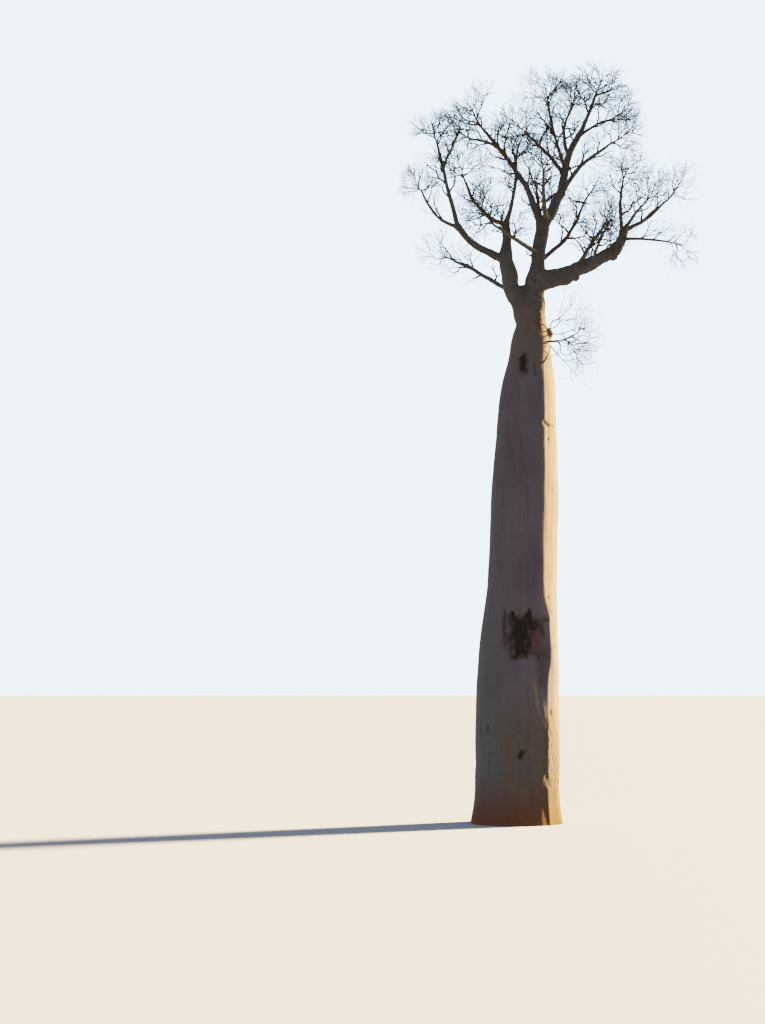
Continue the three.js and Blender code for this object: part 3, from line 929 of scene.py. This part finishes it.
def makeSkin():
    # The neck and all boughs as one welded skin
    shape = bmesh.new()
    look = boughLook
    heights, radii, leans = trunkProfile(look["neckFrom"], trunk["stations"][-1][0], look["neckRings"])
    neck = [Vector((lean, 0, height)) for lean, height in zip(leans, heights)]
    addTube(shape, neck, radii, look["neckSides"])
    for row in boughs:
        limb = drawn[row["name"]]
        addTube(shape, limb.joints, limb.radii, look["sides"])
    for name, share, heading, climb, out, radius, stretch in boughLumps:
        limb = limbs[name]
        centre = limb.point(share) + direction(heading, climb) * out
        stretched = Matrix.Scale(stretch, 4, limb.way(share))
        bmesh.ops.create_icosphere(
            shape, subdivisions=3, radius=radius, matrix=Matrix.Translation(centre) @ stretched,
        )
    skin = remeshed(shape, look["voxel"])
    low, high = look["forkHeights"]
    fork = [vert for vert in skin.verts if low < vert.co.z < high]
    for verts, times in ((skin.verts, look["smoothing"]), (fork, look["forkSmoothing"])):
        for _ in range(times):
            bmesh.ops.smooth_vert(
                skin, verts=verts, factor=0.5, use_axis_x=True, use_axis_y=True, use_axis_z=True,
            )
    # Places close to a cut go onto it, so that it leaves no slivers
    for rim in (trunk["latheTop"], trunk["top"]):
        for vert in skin.verts:
            if abs(vert.co.z - rim) < look["rimSnap"] * look["voxel"]:
                vert.co.z = rim
    return skin


def cutSkin(skin, height, above):
    bmesh.ops.bisect_plane(
        skin, geom=[*skin.verts, *skin.edges, *skin.faces], dist=1e-5,
        plane_co=(0, 0, height), plane_no=(0, 0, 1), clear_inner=above, clear_outer=not above,
    )


def barkSkin(skin, name):
    # Bark relief on a cut of the skin, finer on thin boughs
    look = boughLook
    closeRims(skin)
    piece = keep(skin, name, [])
    spine = [pair for limb in drawn.values() for pair in zip(limb.joints, limb.radii)]
    near = kdtree.KDTree(len(spine))
    for index, (point, _) in enumerate(spine):
        near.insert(point, index)
    near.balance()
    places = readVerts(piece.data, "co")
    height = places[:, 2].copy()
    girth = np.array([min(look["fullGirth"], spine[near.find(place)[1]][1]) for place in places])
    slim = smoothStep(height, *look["slimHeights"])
    girth = girth * slim + look["fullGirth"] * (1 - slim)
    normals = readVerts(piece.data, "normal")
    for rim in (trunk["latheTop"], trunk["top"]):
        normals[np.abs(height - rim) < look["rimReach"], 2] = 0
    rise = sharedRelief(places) * girth / look["fullGirth"]
    rise += smoothStep(height, *look["fineHeights"]) * girth * cloudAt(places, look["fineRelief"])
    places += unit(normals) * rise[:, None]

    # Where it leaves the trunk it has the trunk's own shape
    leanHeights, _, leans = trunkProfile(0, trunk["top"], look["leanRings"])
    angle = np.arctan2(places[:, 1], places[:, 0] - np.interp(height, leanHeights, leans))
    onTrunk, outward, _ = roundTrunk(angle, height)
    onTrunk += outward * sharedRelief(onTrunk)[:, None]
    own = smoothStep(height, trunk["latheTop"], trunk["latheTop"] + look["latheFade"])
    places += (onTrunk - places) * (1 - own)[:, None]
    facing = turnedFrom(angle, -90)
    # No painted shade here, and near the trunk the same painted sunlight as the trunk's sunny side
    finishBark(piece.data, places, {
        "dark": np.zeros(len(places)),
        "red": redStain(facing, height, look["redGirth"]),
        "paintedSunlight": paintedSunlightAt(facing, height),
    })
    return piece


def makeNeck(skin):
    neck = skin.copy()
    cutSkin(neck, trunk["latheTop"], True)
    cutSkin(neck, trunk["top"], False)
    return barkSkin(neck, "neck")


def makeBoughs(skin):
    cutSkin(skin, trunk["top"], True)
    piece = barkSkin(skin, "bough_bark")
    piece.data.materials.append(barkFinish("bough_bark"))
    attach(piece, "root")
    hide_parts(*[row["name"] for row in boughs])
    print(f"boughs made with {len(piece.data.polygons)} faces")
    return piece


# Twigs, by the same seeded rule as the masses they replace, carried to finer ones

twigRule = {
    "firstSeed": 101,
    "ballOut": 0.42,
    "ballUp": 0.25,
    "stemLength": 0.95,
    "stemThickness": 0.92,
    "shootThickness": 0.5,
    "leastRadius": 0.003,
    "shortest": 0.18,
    "roomStep": 0.06,
    "taper": 0.5,
    "wander": 0.15,
    "shootFrom": 0.22,
    "shootSpan": 0.66,
    "slack": (0.2, 0.8),  # where a shoot stands in its own stretch
    "spread": (35, 66),
    "turn": 0.3,
    "vigour": (0.82, 1.12),
    "atFoot": 1.2,
    "lossToTip": 0.5,
    "edgeMargin": 0.012,
    "limbMargin": 0.025,
    "beadSpacing": 0.06,
    "gap": 0.0003,
    "drooping": 0.2,  # masses that hang more than this droop
}
# Of each order: joints, rise at a joint, shoots, their length to this one's
twigOrders = [(3, 0.12, 6, 0.86), (2, 0.18, 4, 0.6), (1, 0, 4, 0.72), (2, 0.1, 0, 0)]
# The mass on the neck, whose stem is drawn slimmer than it is in the source
shoulder = {
    "height": 12.3,
    "heading": -28,
    "climb": -4,
    "radius": 0.042,
    "reach": 1.12,
    "hang": 0.15,
    "sink": 0.07,
}
slimStems = {"shoulder": 0.5}
finerRule = {
    "from": 3,  # the first order that the masses leave out
    "extraShoots": [3, 3, 0, 0],  # on each twig of each order, beside the masses' own
    "extraSeeds": 100,  # their seeds go on from here
    "spread": (28, 66),
    "outward": 0.22,  # how far a finer twig turns from the mass's middle
    "upward": 0.12,
    "edge": 0.1,  # how far it may pass its mass's edge
    "boxMargin": 0.02,  # how far it stays inside the source's box
    # More, or fewer, extra shoots on each twig of these masses
    "more": {
        "summit": 1, "inner_high": 1, "top_back": 1,
        "left_back": 1, "low_front": 1, "right_spur": -1, "right_back": -1,
        "right_low": -2, "right_outer": -2, "right_front": -2, "low_left": -2,
        "left_fork": -2, "mid_left": -1, "top_left": -1, "shoulder": -2,
    },
    "shortest": [0, 0.2, 0.12, 0.1],
}
# Boughs bear shoots along them too, which belong to the mass that they end in
sideRule = {
    "firstSeed": 501,
    "spacing": 0.2,
    "slack": (0.1, 0.9),
    "from": 0.3,
    "fromOverTrunk": 0.55,  # on a bough that the trunk bears
    "to": 0.9,
    "length": (1.15, 0.6),  # at the bough's foot and tip
    "vigour": (0.75, 1.15),
    "radius": (0.013, 0.024),  # least and most
    "thickness": 0.45,
    "spread": (32, 60),
    "turnStep": 2.4,
    "turn": 0.4,
    "upward": 0.25,
    "leastClimb": -0.25,
    "nearLimb": 0.62,  # how far from a limb it may grow outside its mass
    "footFree": 0.12,  # how far out of its bough a shoot may still touch others
    "barest": ["left_bough", "right_bend"],
    "straySeed": 591,
    "strayFree": 0.3,  # the same for the strays below
}
twigLook = {
    # Lists have a value for each order
    "steps": [6, 7, 8, 2],  # from joint to joint
    "sides": [8, 6, 5, 3],
    "thickness": [1.0, 1.35, 1.35, 1.35],  # drawn, to the rule's
    "wiggle": [0.1, 0.3, 0.34, 0.3],  # sideways, as a share of the length
    "wiggleScale": [2, 3.6, 5.5, 8],
    "tipRadius": [0.009, 0.006, 0.0042, 0.003],
    "taper": 0.8,  # under 1 a twig thins most near its foot
    "curl": 0.12,  # how far a thin twig turns up by its tip, as a share of its length
    "droopCurl": -0.25,
    "bud": 1.3,  # how wide it is, how far out it is widest and where it ends, to the tip's radius
    "budWidest": 1.44,
    "budLength": 3.2,
    "rooted": 0.12,  # how deep a stem starts in what bears it
    "tones": [(106, 98, 82), (116, 105, 86), (94, 90, 78)],
    "mottleShade": 0.72,
    "roughness": 0.85,
}
# Strays: mass, limb, share along it, heading, climb, length, radius, how far past its mass's edge
strayShoots = [
    ("top_left", "top_left_bough", 0.6, 80, 80, 1.7, 0.026, 0.4),
    ("top_left", "top_left_bough", 0.76, 50, 68, 1.35, 0.022, 0.4),
    ("inner_high", "inner_high_bough", 0.55, 170, 55, 1.15, 0.02, 0.3),
    ("summit", "summit_bough", 0.92, 10, 18, 0.95, 0.02, 0.35),
    ("summit", "summit_bough", 0.78, -20, 25, 0.9, 0.018, 0.35),
    ("inner_high", "top_bough", 0.7, 20, 50, 0.95, 0.02, 0.4),
    ("shoulder", "trunk", 0.932, -18, 42, 1.3, 0.014, 0.3),
    ("shoulder", "trunk", 0.93, -35, 22, 1.25, 0.012, 0.3),
    ("shoulder", "trunk", 0.927, -8, 8, 1.2, 0.013, 0.3),
    ("shoulder", "trunk", 0.922, -22, -22, 1.35, 0.013, 0.3),
    ("shoulder", "trunk", 0.918, -10, -50, 1.6, 0.015, 0.3),
]
twigPieces = {
    "left_crown_twigs": ["left_high", "left_fork", "left_low", "left_back", "left_front", "low_left"],
    "top_crown_twigs": ["top_left", "mid_left", "inner_high", "back_left", "top_back"],
    "summit_crown_twigs": ["summit", "summit_side", "right_high"],
    "middle_crown_twigs": ["front", "low_front", "back", "right_back", "right_inner"],
    "right_crown_twigs": ["right_upright", "right_front", "right_outer", "right_low", "right_spur"],
    "shoulder_sprays": ["shoulder"],
}
wholeNumber = 0xffffffff
goldenTurn = math.pi * (3 - math.sqrt(5))


def shootSeed(seed, index):
    mixed = ((seed ^ ((index + 1) * 0x9e3779b1 & wholeNumber)) * 0x85ebca6b) & wholeNumber
    mixed ^= mixed >> 13
    return (mixed * 0xc2b2ae35) & wholeNumber


def seededDice(seed):
    state = seed & wholeNumber

    def roll(low, high):
        nonlocal state
        state = (state + 0x6d2b79f5) & wholeNumber
        mixed = ((state ^ (state >> 15)) * (state | 1)) & wholeNumber
        mixed ^= (mixed + (((mixed ^ (mixed >> 7)) * (mixed | 61)) & wholeNumber)) & wholeNumber
        return low + (high - low) * (mixed ^ (mixed >> 14)) / (wholeNumber + 1)

    return roll


def beadsOf(limb):
    beads = []
    for joint in range(len(limb.joints) - 1):
        start, end = limb.joints[joint:joint + 2]
        count = math.ceil((end - start).length / twigRule["beadSpacing"])
        for bead in range(count + 1):
            share = bead / count
            radius = limb.radii[joint] * (1 - share) + limb.radii[joint + 1] * share
            beads.append((*start.lerp(end, share), radius))
    return beads


def clearOf(beads, points, radius, skip):
    for start, end in zip(points, points[1:]):
        count = math.ceil((end - start).length / twigRule["beadSpacing"])
        for bead in range(count + 1):
            place = start.lerp(end, bead / count)
            if (place - points[0]).length < skip:
                continue
            away = np.linalg.norm(beads[:, :3] - np.array(place), axis=1)
            if (away < beads[:, 3] + radius + twigRule["limbMargin"]).any():
                return False
    return True


def upright(way, spread, turn):
    # A way that leaves another at a spread, turned round it from level
    level = Vector((-way.y, way.x, 0.001)).normalized()
    side = way.cross(level).normalized()
    return way * math.cos(spread) + (level * math.cos(turn) + side * math.sin(turn)) * math.sin(spread)


class Mass:
    # A ball of twigs on one stem, less what is nearer to the other balls
    def __init__(self, name, foot, way, radius, reach, hang):
        self.name = name
        self.foot = foot
        self.way = way
        self.radius = radius
        self.reach = reach
        self.hang = hang
        self.droops = hang > twigRule["drooping"]
        self.centre = foot + way * (twigRule["ballOut"] * reach)
        self.centre.z += (twigRule["ballUp"] - hang) * reach
        self.more = finerRule["more"].get(name, 0)
        self.edge = finerRule["edge"]
        self.shoots = []
        self.spray = 0

    def meetOthers(self, masses, beads):
        self.balls = np.array([(*mass.centre, mass.reach) for mass in masses])
        self.others = np.array([(*mass.centre, mass.reach) for mass in masses if mass is not self])
        self.apart = 2 * np.linalg.norm(self.others[:, :3] - np.array(self.centre), axis=1)
        away = np.linalg.norm(beads[:, :3] - np.array(self.centre), axis=1)
        self.allBeads = beads
        self.beads = beads[away < self.reach + beads[:, 3] + 2 * twigRule["limbMargin"]]

    def holds(self, point, radius):
        square = (point - self.centre).length_squared
        if math.sqrt(square) + radius > self.reach:
            return False
        theirs = ((self.others[:, :3] - np.array(point)) ** 2).sum(axis=1) - self.others[:, 3] ** 2
        own = square - self.reach ** 2
        return bool(((theirs - own) / self.apart > radius + twigRule["edgeMargin"]).all())

    def allows(self, point):
        # Finer twigs may cross between masses, and shoots along a bough keep near it
        place = np.array(point)
        low, high = np.array(cadBox)
        if min((place - low).min(), (high - place).min()) < finerRule["boxMargin"]:
            return False
        away = np.linalg.norm(self.balls[:, :3] - place, axis=1) - self.balls[:, 3]
        if away.min() < self.edge:
            return True
        return np.linalg.norm(self.allBeads[:, :3] - place, axis=1).min() < sideRule["nearLimb"]

    def room(self, foot, way, wanted, radius, shortest):
        room = wanted
        while room > shortest and not self.holds(foot + way * room, radius):
            room -= twigRule["roomStep"] * wanted
        return room

    def grow(self, seed, foot, aim, length, radius, order, own=True, skip=0.0):
        # own: one of the mass's own twigs, which the source's rule grows the same
        roll = seededDice(seed)
        joints, rise, shoots, shrink = twigOrders[order]
        shortest = twigRule["shortest"] if own else finerRule["shortest"][order]
        room = self.room(foot, aim, length, radius, shortest) if own and order else length
        way = aim.copy()
        points = [foot]
        radii = [radius]
        wander = twigRule["wander"]
        for joint in range(1, joints + 1):
            points.append(points[-1] + way * (room / joints))
            radii.append(radius * (1 - twigRule["taper"] * joint / joints) if joint < joints else 0)
            way.x += roll(-wander, wander)
            way.y += roll(-wander, wander)
            way.z += roll(-wander, wander) + rise - self.hang
            way.normalize()
        if room <= shortest:
            return
        if own:
            if order and not all(self.holds(point, girth) for point, girth in zip(points, radii)):
                return
            if order and not clearOf(self.beads, points, radius, 0):
                return
        elif not all(self.allows(point) for point in points[1:]):
            return
        elif not clearOf(self.allBeads, points[-2:] if order >= finerRule["from"] else points, radius, skip):
            return
        limb = Limb(points, radii)
        path = self.bent(points, way, order)
        slim = slimStems.get(self.name, 1) if own and order == 0 else 1
        rooted = [foot - aim * twigLook["rooted"]] if order == 0 else []
        self.shoots.append((order, self.spray, rooted + path, radius * slim))
        curve = Limb(path, [0] * len(path))
        firstTurn = roll(0, 2 * math.pi)
        finer = order + 1 >= finerRule["from"]
        more = max(0, finerRule["extraShoots"][order] + self.more) if shoots else 0
        for index in range(shoots + more):
            extra = index >= shoots
            if index == shoots:
                roll = seededDice(shootSeed(seed, finerRule["extraSeeds"] - 1))
                shoots = more
            stretch = (index % max(1, shoots) + roll(*twigRule["slack"])) / shoots
            share = twigRule["shootFrom"] + twigRule["shootSpan"] * stretch
            turn = firstTurn + goldenTurn * index + roll(-twigRule["turn"], twigRule["turn"])
            spread = math.radians(roll(*(finerRule["spread"] if finer else twigRule["spread"])))
            vigour = roll(*twigRule["vigour"])
            nextLength = length * shrink * vigour * (twigRule["atFoot"] - twigRule["lossToTip"] * share)
            nextRadius = max(twigRule["leastRadius"], twigRule["shootThickness"] * limb.radius(share))
            nextAim = upright(limb.way(share), spread, turn)
            if finer:
                away = (curve.point(share) - self.centre).normalized()
                nextAim += away * finerRule["outward"]
                nextAim.z += finerRule["upward"] * (-1 if self.droops else 1)
            if order == 0:
                self.spray += 1
            self.grow(
                shootSeed(seed, index + finerRule["extraSeeds"] * extra), curve.point(share),
                nextAim.normalized(), nextLength, nextRadius, order + 1, own and not finer and not extra,
            )

    def bent(self, points, way, order):
        # The shoot's drawn line: through its joints, and a thin one curls up, or down in a drooping mass
        steps = twigLook["steps"][order]
        if len(points) > 2:
            path = smoothPath(points, steps)
        else:
            curl = twigLook["droopCurl" if self.droops else "curl"]
            foot, tip = points
            span = tip - foot
            bend = Vector((0, 0, curl * span.length)) + (way * span.length - span) * 0.5
            path = [foot + span * (step / steps) + bend * (step / steps) ** 2 for step in range(steps + 1)]
        loose = twigLook["wiggle"][order] * (points[-1] - points[0]).length
        for step, place in enumerate(path):
            share = step / (len(path) - 1)
            path[step] = place + drift(place, twigLook["wiggleScale"][order]) * loose * share
        if self.allows(path[-1]):
            return path
        return [points[0].lerp(points[-1], step / (len(path) - 1)) for step in range(len(path))]


def makeMasses():
    masses = []
    for row in boughs:
        if row["reach"]:
            limb = limbs[row["name"]]
            way = limb.way(1)
            foot = limb.point(1) + way * twigRule["gap"]
            name = row["name"].replace("_bough", "")
            radius = twigRule["stemThickness"] * row["tip"]
            masses.append(Mass(name, foot, way, radius, row["reach"], row["hang"]))
    stem = limbs["trunk"]
    share = shoulder["height"] / stem.joints[-1].z
    foot = stem.point(share) + direction(shoulder["heading"], 0) * (stem.radius(share) - shoulder["sink"])
    way = direction(shoulder["heading"], shoulder["climb"])
    masses.append(Mass("shoulder", foot, way, shoulder["radius"], shoulder["reach"], shoulder["hang"]))
    beads = np.array([bead for limb in limbs.values() for bead in beadsOf(limb)])
    for index, mass in enumerate(masses):
        mass.meetOthers(masses, beads)
        length = twigRule["stemLength"] * mass.reach
        mass.grow(twigRule["firstSeed"] + index, mass.foot, mass.way, length, mass.radius, 0)
    return {mass.name: mass for mass in masses}


def bearer(row, masses):
    # The mass that a bough ends in, or the first that grows on from it
    name = row["name"].replace("_bough", "")
    if name in masses:
        return masses[name]
    return bearer(next(child for child in boughs if child["parent"] == row["name"]), masses)


def growSideShoots(masses):
    rule = sideRule
    atFoot, atTip = rule["length"]
    for number, row in enumerate(boughs):
        if row["name"] in rule["barest"]:
            continue
        boughSeed = rule["firstSeed"] + number
        roll = seededDice(boughSeed)
        mass = bearer(row, masses)
        limb = drawn[row["name"]]
        start = rule["fromOverTrunk"] if row["parent"] == "trunk" else rule["from"]
        span = rule["to"] - start
        count = round(row["length"] * span / rule["spacing"])
        firstTurn = roll(0, 2 * math.pi)
        for index in range(count):
            share = start + span * (index + roll(*rule["slack"])) / count
            turn = firstTurn + rule["turnStep"] * index + roll(-rule["turn"], rule["turn"])
            spread = math.radians(roll(*rule["spread"]))
            aim = upright(limb.way(share), spread, turn)
            aim.z += rule["upward"]
            girth = limb.radius(share)
            length = (atFoot + (atTip - atFoot) * share) * roll(*rule["vigour"]) + girth
            if aim.z < rule["leastClimb"]:
                continue
            radius = np.clip(rule["thickness"] * girth, *rule["radius"])
            mass.spray += 1
            mass.grow(
                shootSeed(boughSeed, index), limb.point(share), aim.normalized(),
                length, radius, 1, False, girth + rule["footFree"],
            )


def growStrays(masses):
    for number, (name, bearing, share, heading, climb, length, radius, edge) in enumerate(strayShoots):
        mass = masses[name]
        limb = drawn.get(bearing, limbs[bearing])
        aim = direction(heading, climb)
        out = direction(heading, 0) if bearing == "trunk" else aim
        foot = limb.point(share) + out * (limb.radius(share) - twigLook["rooted"])
        seed = shootSeed(sideRule["straySeed"], number)
        mass.spray += 1
        mass.edge = edge
        mass.grow(seed, foot, aim, length, radius, 1, False, sideRule["strayFree"])
        mass.edge = finerRule["edge"]


def twigTubes(shoots, order):
    # All tubes of one order at once: corner places and faces as arrays
    sides = twigLook["sides"][order]
    paths = np.array([[list(point) for point in path] for _, _, path, _ in shoots])
    count, rings = paths.shape[:2]
    radius = np.array([radius for *_, radius in shoots]) * twigLook["thickness"][order]
    tip = np.minimum(twigLook["tipRadius"][order], radius)
    share = np.linspace(0, 1, rings)
    radii = radius[:, None] + (tip - radius)[:, None] * share[None, :] ** twigLook["taper"]
    ways = unit(np.gradient(paths, axis=1))
    run = unit(paths[:, -1] - paths[:, 0])
    # Across is square to up, or to +X for a twig that runs nearly upright
    nearlyUpright = 0.9
    helper = np.where(np.abs(run[:, 2:]) > nearlyUpright, [[1.0, 0, 0]], [[0, 0, 1.0]])
    across = np.cross(run, helper)[:, None, :] + np.zeros_like(ways)
    across = unit(across - ways * (across * ways).sum(axis=2, keepdims=True))
    beside = np.cross(ways, across)
    # A bud closes the tip: one wider ring and a point
    budRing, point = (
        paths[:, -1] + ways[:, -1] * (tip * twigLook[part])[:, None] for part in ("budWidest", "budLength")
    )
    centres = np.concatenate([paths, budRing[:, None]], axis=1)
    across, beside = (np.concatenate([part, part[:, -1:]], axis=1) for part in (across, beside))
    radii = np.concatenate([radii, (tip * twigLook["bud"])[:, None]], axis=1)
    rings += 1
    turn = np.arange(sides) * (2 * math.pi / sides)
    circle = across[:, :, None] * np.cos(turn)[:, None] + beside[:, :, None] * np.sin(turn)[:, None]
    corners = centres[:, :, None] + circle * radii[:, :, None, None]
    places = np.concatenate([corners.reshape(count, -1, 3), point[:, None]], axis=1)
    ring = np.arange(sides)
    following = (ring + 1) % sides
    low = np.arange(rings - 1)[:, None] * sides
    quads = np.stack([low + ring, low + following, low + sides + following, low + sides + ring], axis=2)
    last = (rings - 1) * sides
    cone = np.stack([last + ring, last + following, np.full(sides, rings * sides)], axis=1)
    offset = (np.arange(count) * (rings * sides + 1))[:, None, None]
    faces = [
        (quads.reshape(1, -1, 4) + offset).reshape(-1, 4),
        (cone[None] + offset).reshape(-1, 3),
        (ring[::-1][None, None] + offset).reshape(-1, sides),
    ]
    sprays = np.array([spray for _, spray, _, _ in shoots])
    return places.reshape(-1, 3), faces, [np.repeat(sprays, len(part) // count) for part in faces]


def twigMesh(name, shoots):
    places, corners, sizes, tones = [], [], [], []
    start = 0
    for order in range(len(twigOrders)):
        for length in sorted({len(shoot[2]) for shoot in shoots if shoot[0] == order}):
            chosen = [shoot for shoot in shoots if shoot[0] == order and len(shoot[2]) == length]
            spots, faces, sprays = twigTubes(chosen, order)
            for part, spray in zip(faces, sprays):
                corners.append((part + start).ravel())
                sizes.append(np.full(len(part), part.shape[1]))
                tones.append(spray % len(twigLook["tones"]))
            places.append(spots)
            start += len(spots)
    places, corners, sizes, tones = (np.concatenate(part) for part in (places, corners, sizes, tones))
    data = bpy.data.meshes.new(name)
    data.vertices.add(len(places))
    data.vertices.foreach_set("co", places.ravel())
    data.loops.add(len(corners))
    data.loops.foreach_set("vertex_index", corners)
    data.polygons.add(len(sizes))
    data.polygons.foreach_set("loop_start", np.concatenate([[0], np.cumsum(sizes)[:-1]]))
    data.polygons.foreach_set("material_index", tones)
    data.update(calc_edges=True)
    data.validate()
    smoothShade(data)
    return data


def makeTwigs():
    masses = makeMasses()
    growSideShoots(masses)
    growStrays(masses)
    finishes = [twigFinish(index, colour) for index, colour in enumerate(twigLook["tones"])]
    pieces = []
    for name, members in twigPieces.items():
        shoots = [shoot for member in members for shoot in masses[member].shoots]
        piece = addPiece(name, twigMesh(name, shoots), finishes)
        pieces.append(piece)
        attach(piece, "root")
        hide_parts(*[f"{member}_twigs" for member in members])
        triangles = sum(len(face.vertices) - 2 for face in piece.data.polygons)
        orders = [sum(shoot[0] == order for shoot in shoots) for order in range(len(twigOrders))]
        print(f"{name} made with {orders} twigs and {triangles} triangles")
    return pieces


# Finishes

barkColours = {
    "pale": tone(141, 133, 135),
    "mauve": tone(130, 122, 128),
    # painted shade: the side away from the sun cooler and a little darker
    "cool": tone(125, 130, 133),
    "brown": tone(134, 121, 104),
    "moss": tone(122, 115, 92),
    # painted sunlight: the sunny side's paler, warmer bark
    "paintedSunlitBark": tone(180, 152, 134),
    "streak": tone(108, 100, 102),
    "neck": tone(136, 124, 110),
    "dust": tone(132, 94, 62),
    "speck": tone(108, 84, 64),
    # painted shade: the wound's core and arch and the darkest hollows
    "black": tone(66, 60, 56),
    # worn wood in the wound, and painted shade in hollows and pits
    "wornWoodAndShade": tone(112, 102, 92),
    "red": tone(134, 88, 84),
    "crease": tone(92, 82, 76),
    "bough": tone(119, 117, 109),
    "boughGrey": tone(134, 133, 128),
    "boughOlive": tone(113, 112, 88),
    "boughDark": tone(80, 76, 69),
}
barkLook = {
    # The heights over which a look comes in, from none to all of it, before a cloud shifts them
    "lowHeights": (4.6, 3),
    "speckHeights": (4.2, 1.5),
    "dustHeights": (1.8, 0.3),
    "neckHeights": (11.9, 12.9),
    "boughHeights": (13.2, 13.9),
    # The places along X over which one comes in
    # the painted shade of the side away from the sun comes in towards -X
    "coolSide": (0.55, -0.25),
    "lowSide": (-0.7, -0.2),
    "speckSide": (0.5, 0.8),
    # How much of a look there is at most
    "cool": 0.85,
    "brown": 0.9,
    "moss": 0.6,
    "streaks": 0.5,
    "thinStreaks": 0.25,
    "levelLines": 0.3,
    "grain": 0.3,
    "dust": 0.85,
    "boughOlive": 0.6,
    "boughDark": 0.6,
    "wornWoodAndShade": 0.75,
    "roughness": 0.88,
    "bumpStrength": 0.55,
    "bumpDepth": 0.012,
}


def barkFinish(name):
    # One bark for trunk and boughs, paler and streaked low down, darker and olive above the neck, with
    # painted sunlight on the sunny side and painted shade in hollows, pits and on the side away from the sun
    material = bpy.data.materials.new(name)
    bark = Finish(material)
    colours = barkColours
    look = barkLook
    height = bark.along("Z")
    side = bark.along("X")
    streaks = bark.cloud(bark.place((1, 1, 0.12)), 5.5, 6, 0.6)
    thin = bark.cloud(bark.place((1, 1, 0.07)), 26, 4, 0.6)
    clouds = bark.cloud(bark.place((1, 1, 0.6)), 0.9, 3)
    patches = bark.cloud(bark.place(), 3.2, 5, 0.6)
    levels = bark.cloud(bark.place((0.12, 0.12, 1)), 9, 5, 0.65)
    grain = bark.cloud(bark.place(), 42, 4, 0.65)
    colour = bark.blend(bark.step(clouds, 0.38, 0.64), colours["pale"], colours["mauve"])
    low = bark.step(height + clouds * 2, *look["lowHeights"]) * bark.step(side, *look["lowSide"])
    # painted sunlight on the sunny side
    paintedSunlight = bark.marked("paintedSunlight")
    specks = bark.step(bark.cloud(bark.place((1, 1, 0.6)), 13, 5, 0.7), 0.45, 0.56)
    specks *= bark.step(height + clouds, *look["speckHeights"])
    specks *= bark.step(side, *look["speckSide"]) * 0.75 + 0.1
    neck = bark.step(height + streaks * 1.2, *look["neckHeights"])
    for mask, name in (
        # painted shade: cooler and a little darker away from the sun
        (bark.step(side + clouds, *look["coolSide"]) * look["cool"], "cool"),
        (low * bark.step(patches, 0.4, 0.56) * look["brown"], "brown"),
        (low * bark.step(patches, 0.52, 0.34) * look["moss"], "moss"),
        # painted sunlight: the sunny side paler and warmer
        (paintedSunlight * (bark.step(patches, 0.3, 0.55) * 0.3 + 0.7), "paintedSunlitBark"),
        (specks, "speck"),
        (bark.step(streaks, 0.5, 0.74) * look["streaks"], "streak"),
        (bark.step(thin, 0.56, 0.72) * look["thinStreaks"], "streak"),
        (bark.step(levels, 0.62, 0.72) * look["levelLines"], "crease"),
        (bark.step(grain, 0.6, 0.75) * look["grain"], "crease"),
        # the neck's darker tone, held back under the painted sunlight so that its sunny side stays pale
        (neck * (0.75 - paintedSunlight * 0.65), "neck"),
        (bark.step(height + streaks * 0.7, *look["dustHeights"]) * look["dust"], "dust"),
    ):
        colour = bark.blend(mask, colour, colours[name])

    upper = bark.step(bark.cloud(bark.place(), 1.6, 4), 0.42, 0.62)
    upper = bark.blend(upper, colours["bough"], colours["boughGrey"])
    upper = bark.blend(bark.step(patches, 0.5, 0.66) * look["boughOlive"], upper, colours["boughOlive"])
    upper = bark.blend(bark.step(grain, 0.5, 0.7) * look["boughDark"], upper, colours["boughDark"])
    colour = bark.blend(bark.step(height + patches * 0.8, *look["boughHeights"]), colour, upper)

    # worn wood and painted shade
    dark = bark.marked("dark")
    for mask, name in (
        (bark.step(dark, 0.04, 0.5) * look["wornWoodAndShade"], "wornWoodAndShade"),
        (bark.marked("red") * (bark.step(grain + patches, 0.8, 1.2) * 0.5 + 0.5), "red"),
        # painted shade, near black where it is darkest
        (bark.step(dark + (patches - 0.5) * 0.4, 0.3, 0.95), "black"),
    ):
        colour = bark.blend(mask, colour, colours[name])
    relief = streaks * 0.5 + thin * 0.25 + levels * 0.35 + grain * 0.3 + patches * 0.3
    bark.coat(colour, look["roughness"], bark.bump(relief, look["bumpStrength"], look["bumpDepth"]))
    return material


def twigFinish(index, colour):
    material = bpy.data.materials.new(f"twig_tone_{index + 1}")
    twig = Finish(material)
    base = tone(*colour)
    darker = (*[part * twigLook["mottleShade"] for part in base[:3]], 1)
    mottle = twig.step(twig.cloud(twig.place(), 18, 2), 0.4, 0.65)
    twig.coat(twig.blend(mottle, base, darker), twigLook["roughness"])
    return material


makeCamera()
floor = makeStudio()
skin = makeSkin()
trunkPiece = makeTrunk(makeNeck(skin))
boughPiece = makeBoughs(skin)
twigs = makeTwigs()
addLamp("key", "SPOT", studio["keyStrength"], [trunkPiece, boughPiece])
addLamp("crown_key", "SUN", studio["crownStrength"], [boughPiece, *twigs])
addLamp("floor_key", "SUN", studio["floorStrength"], [floor])
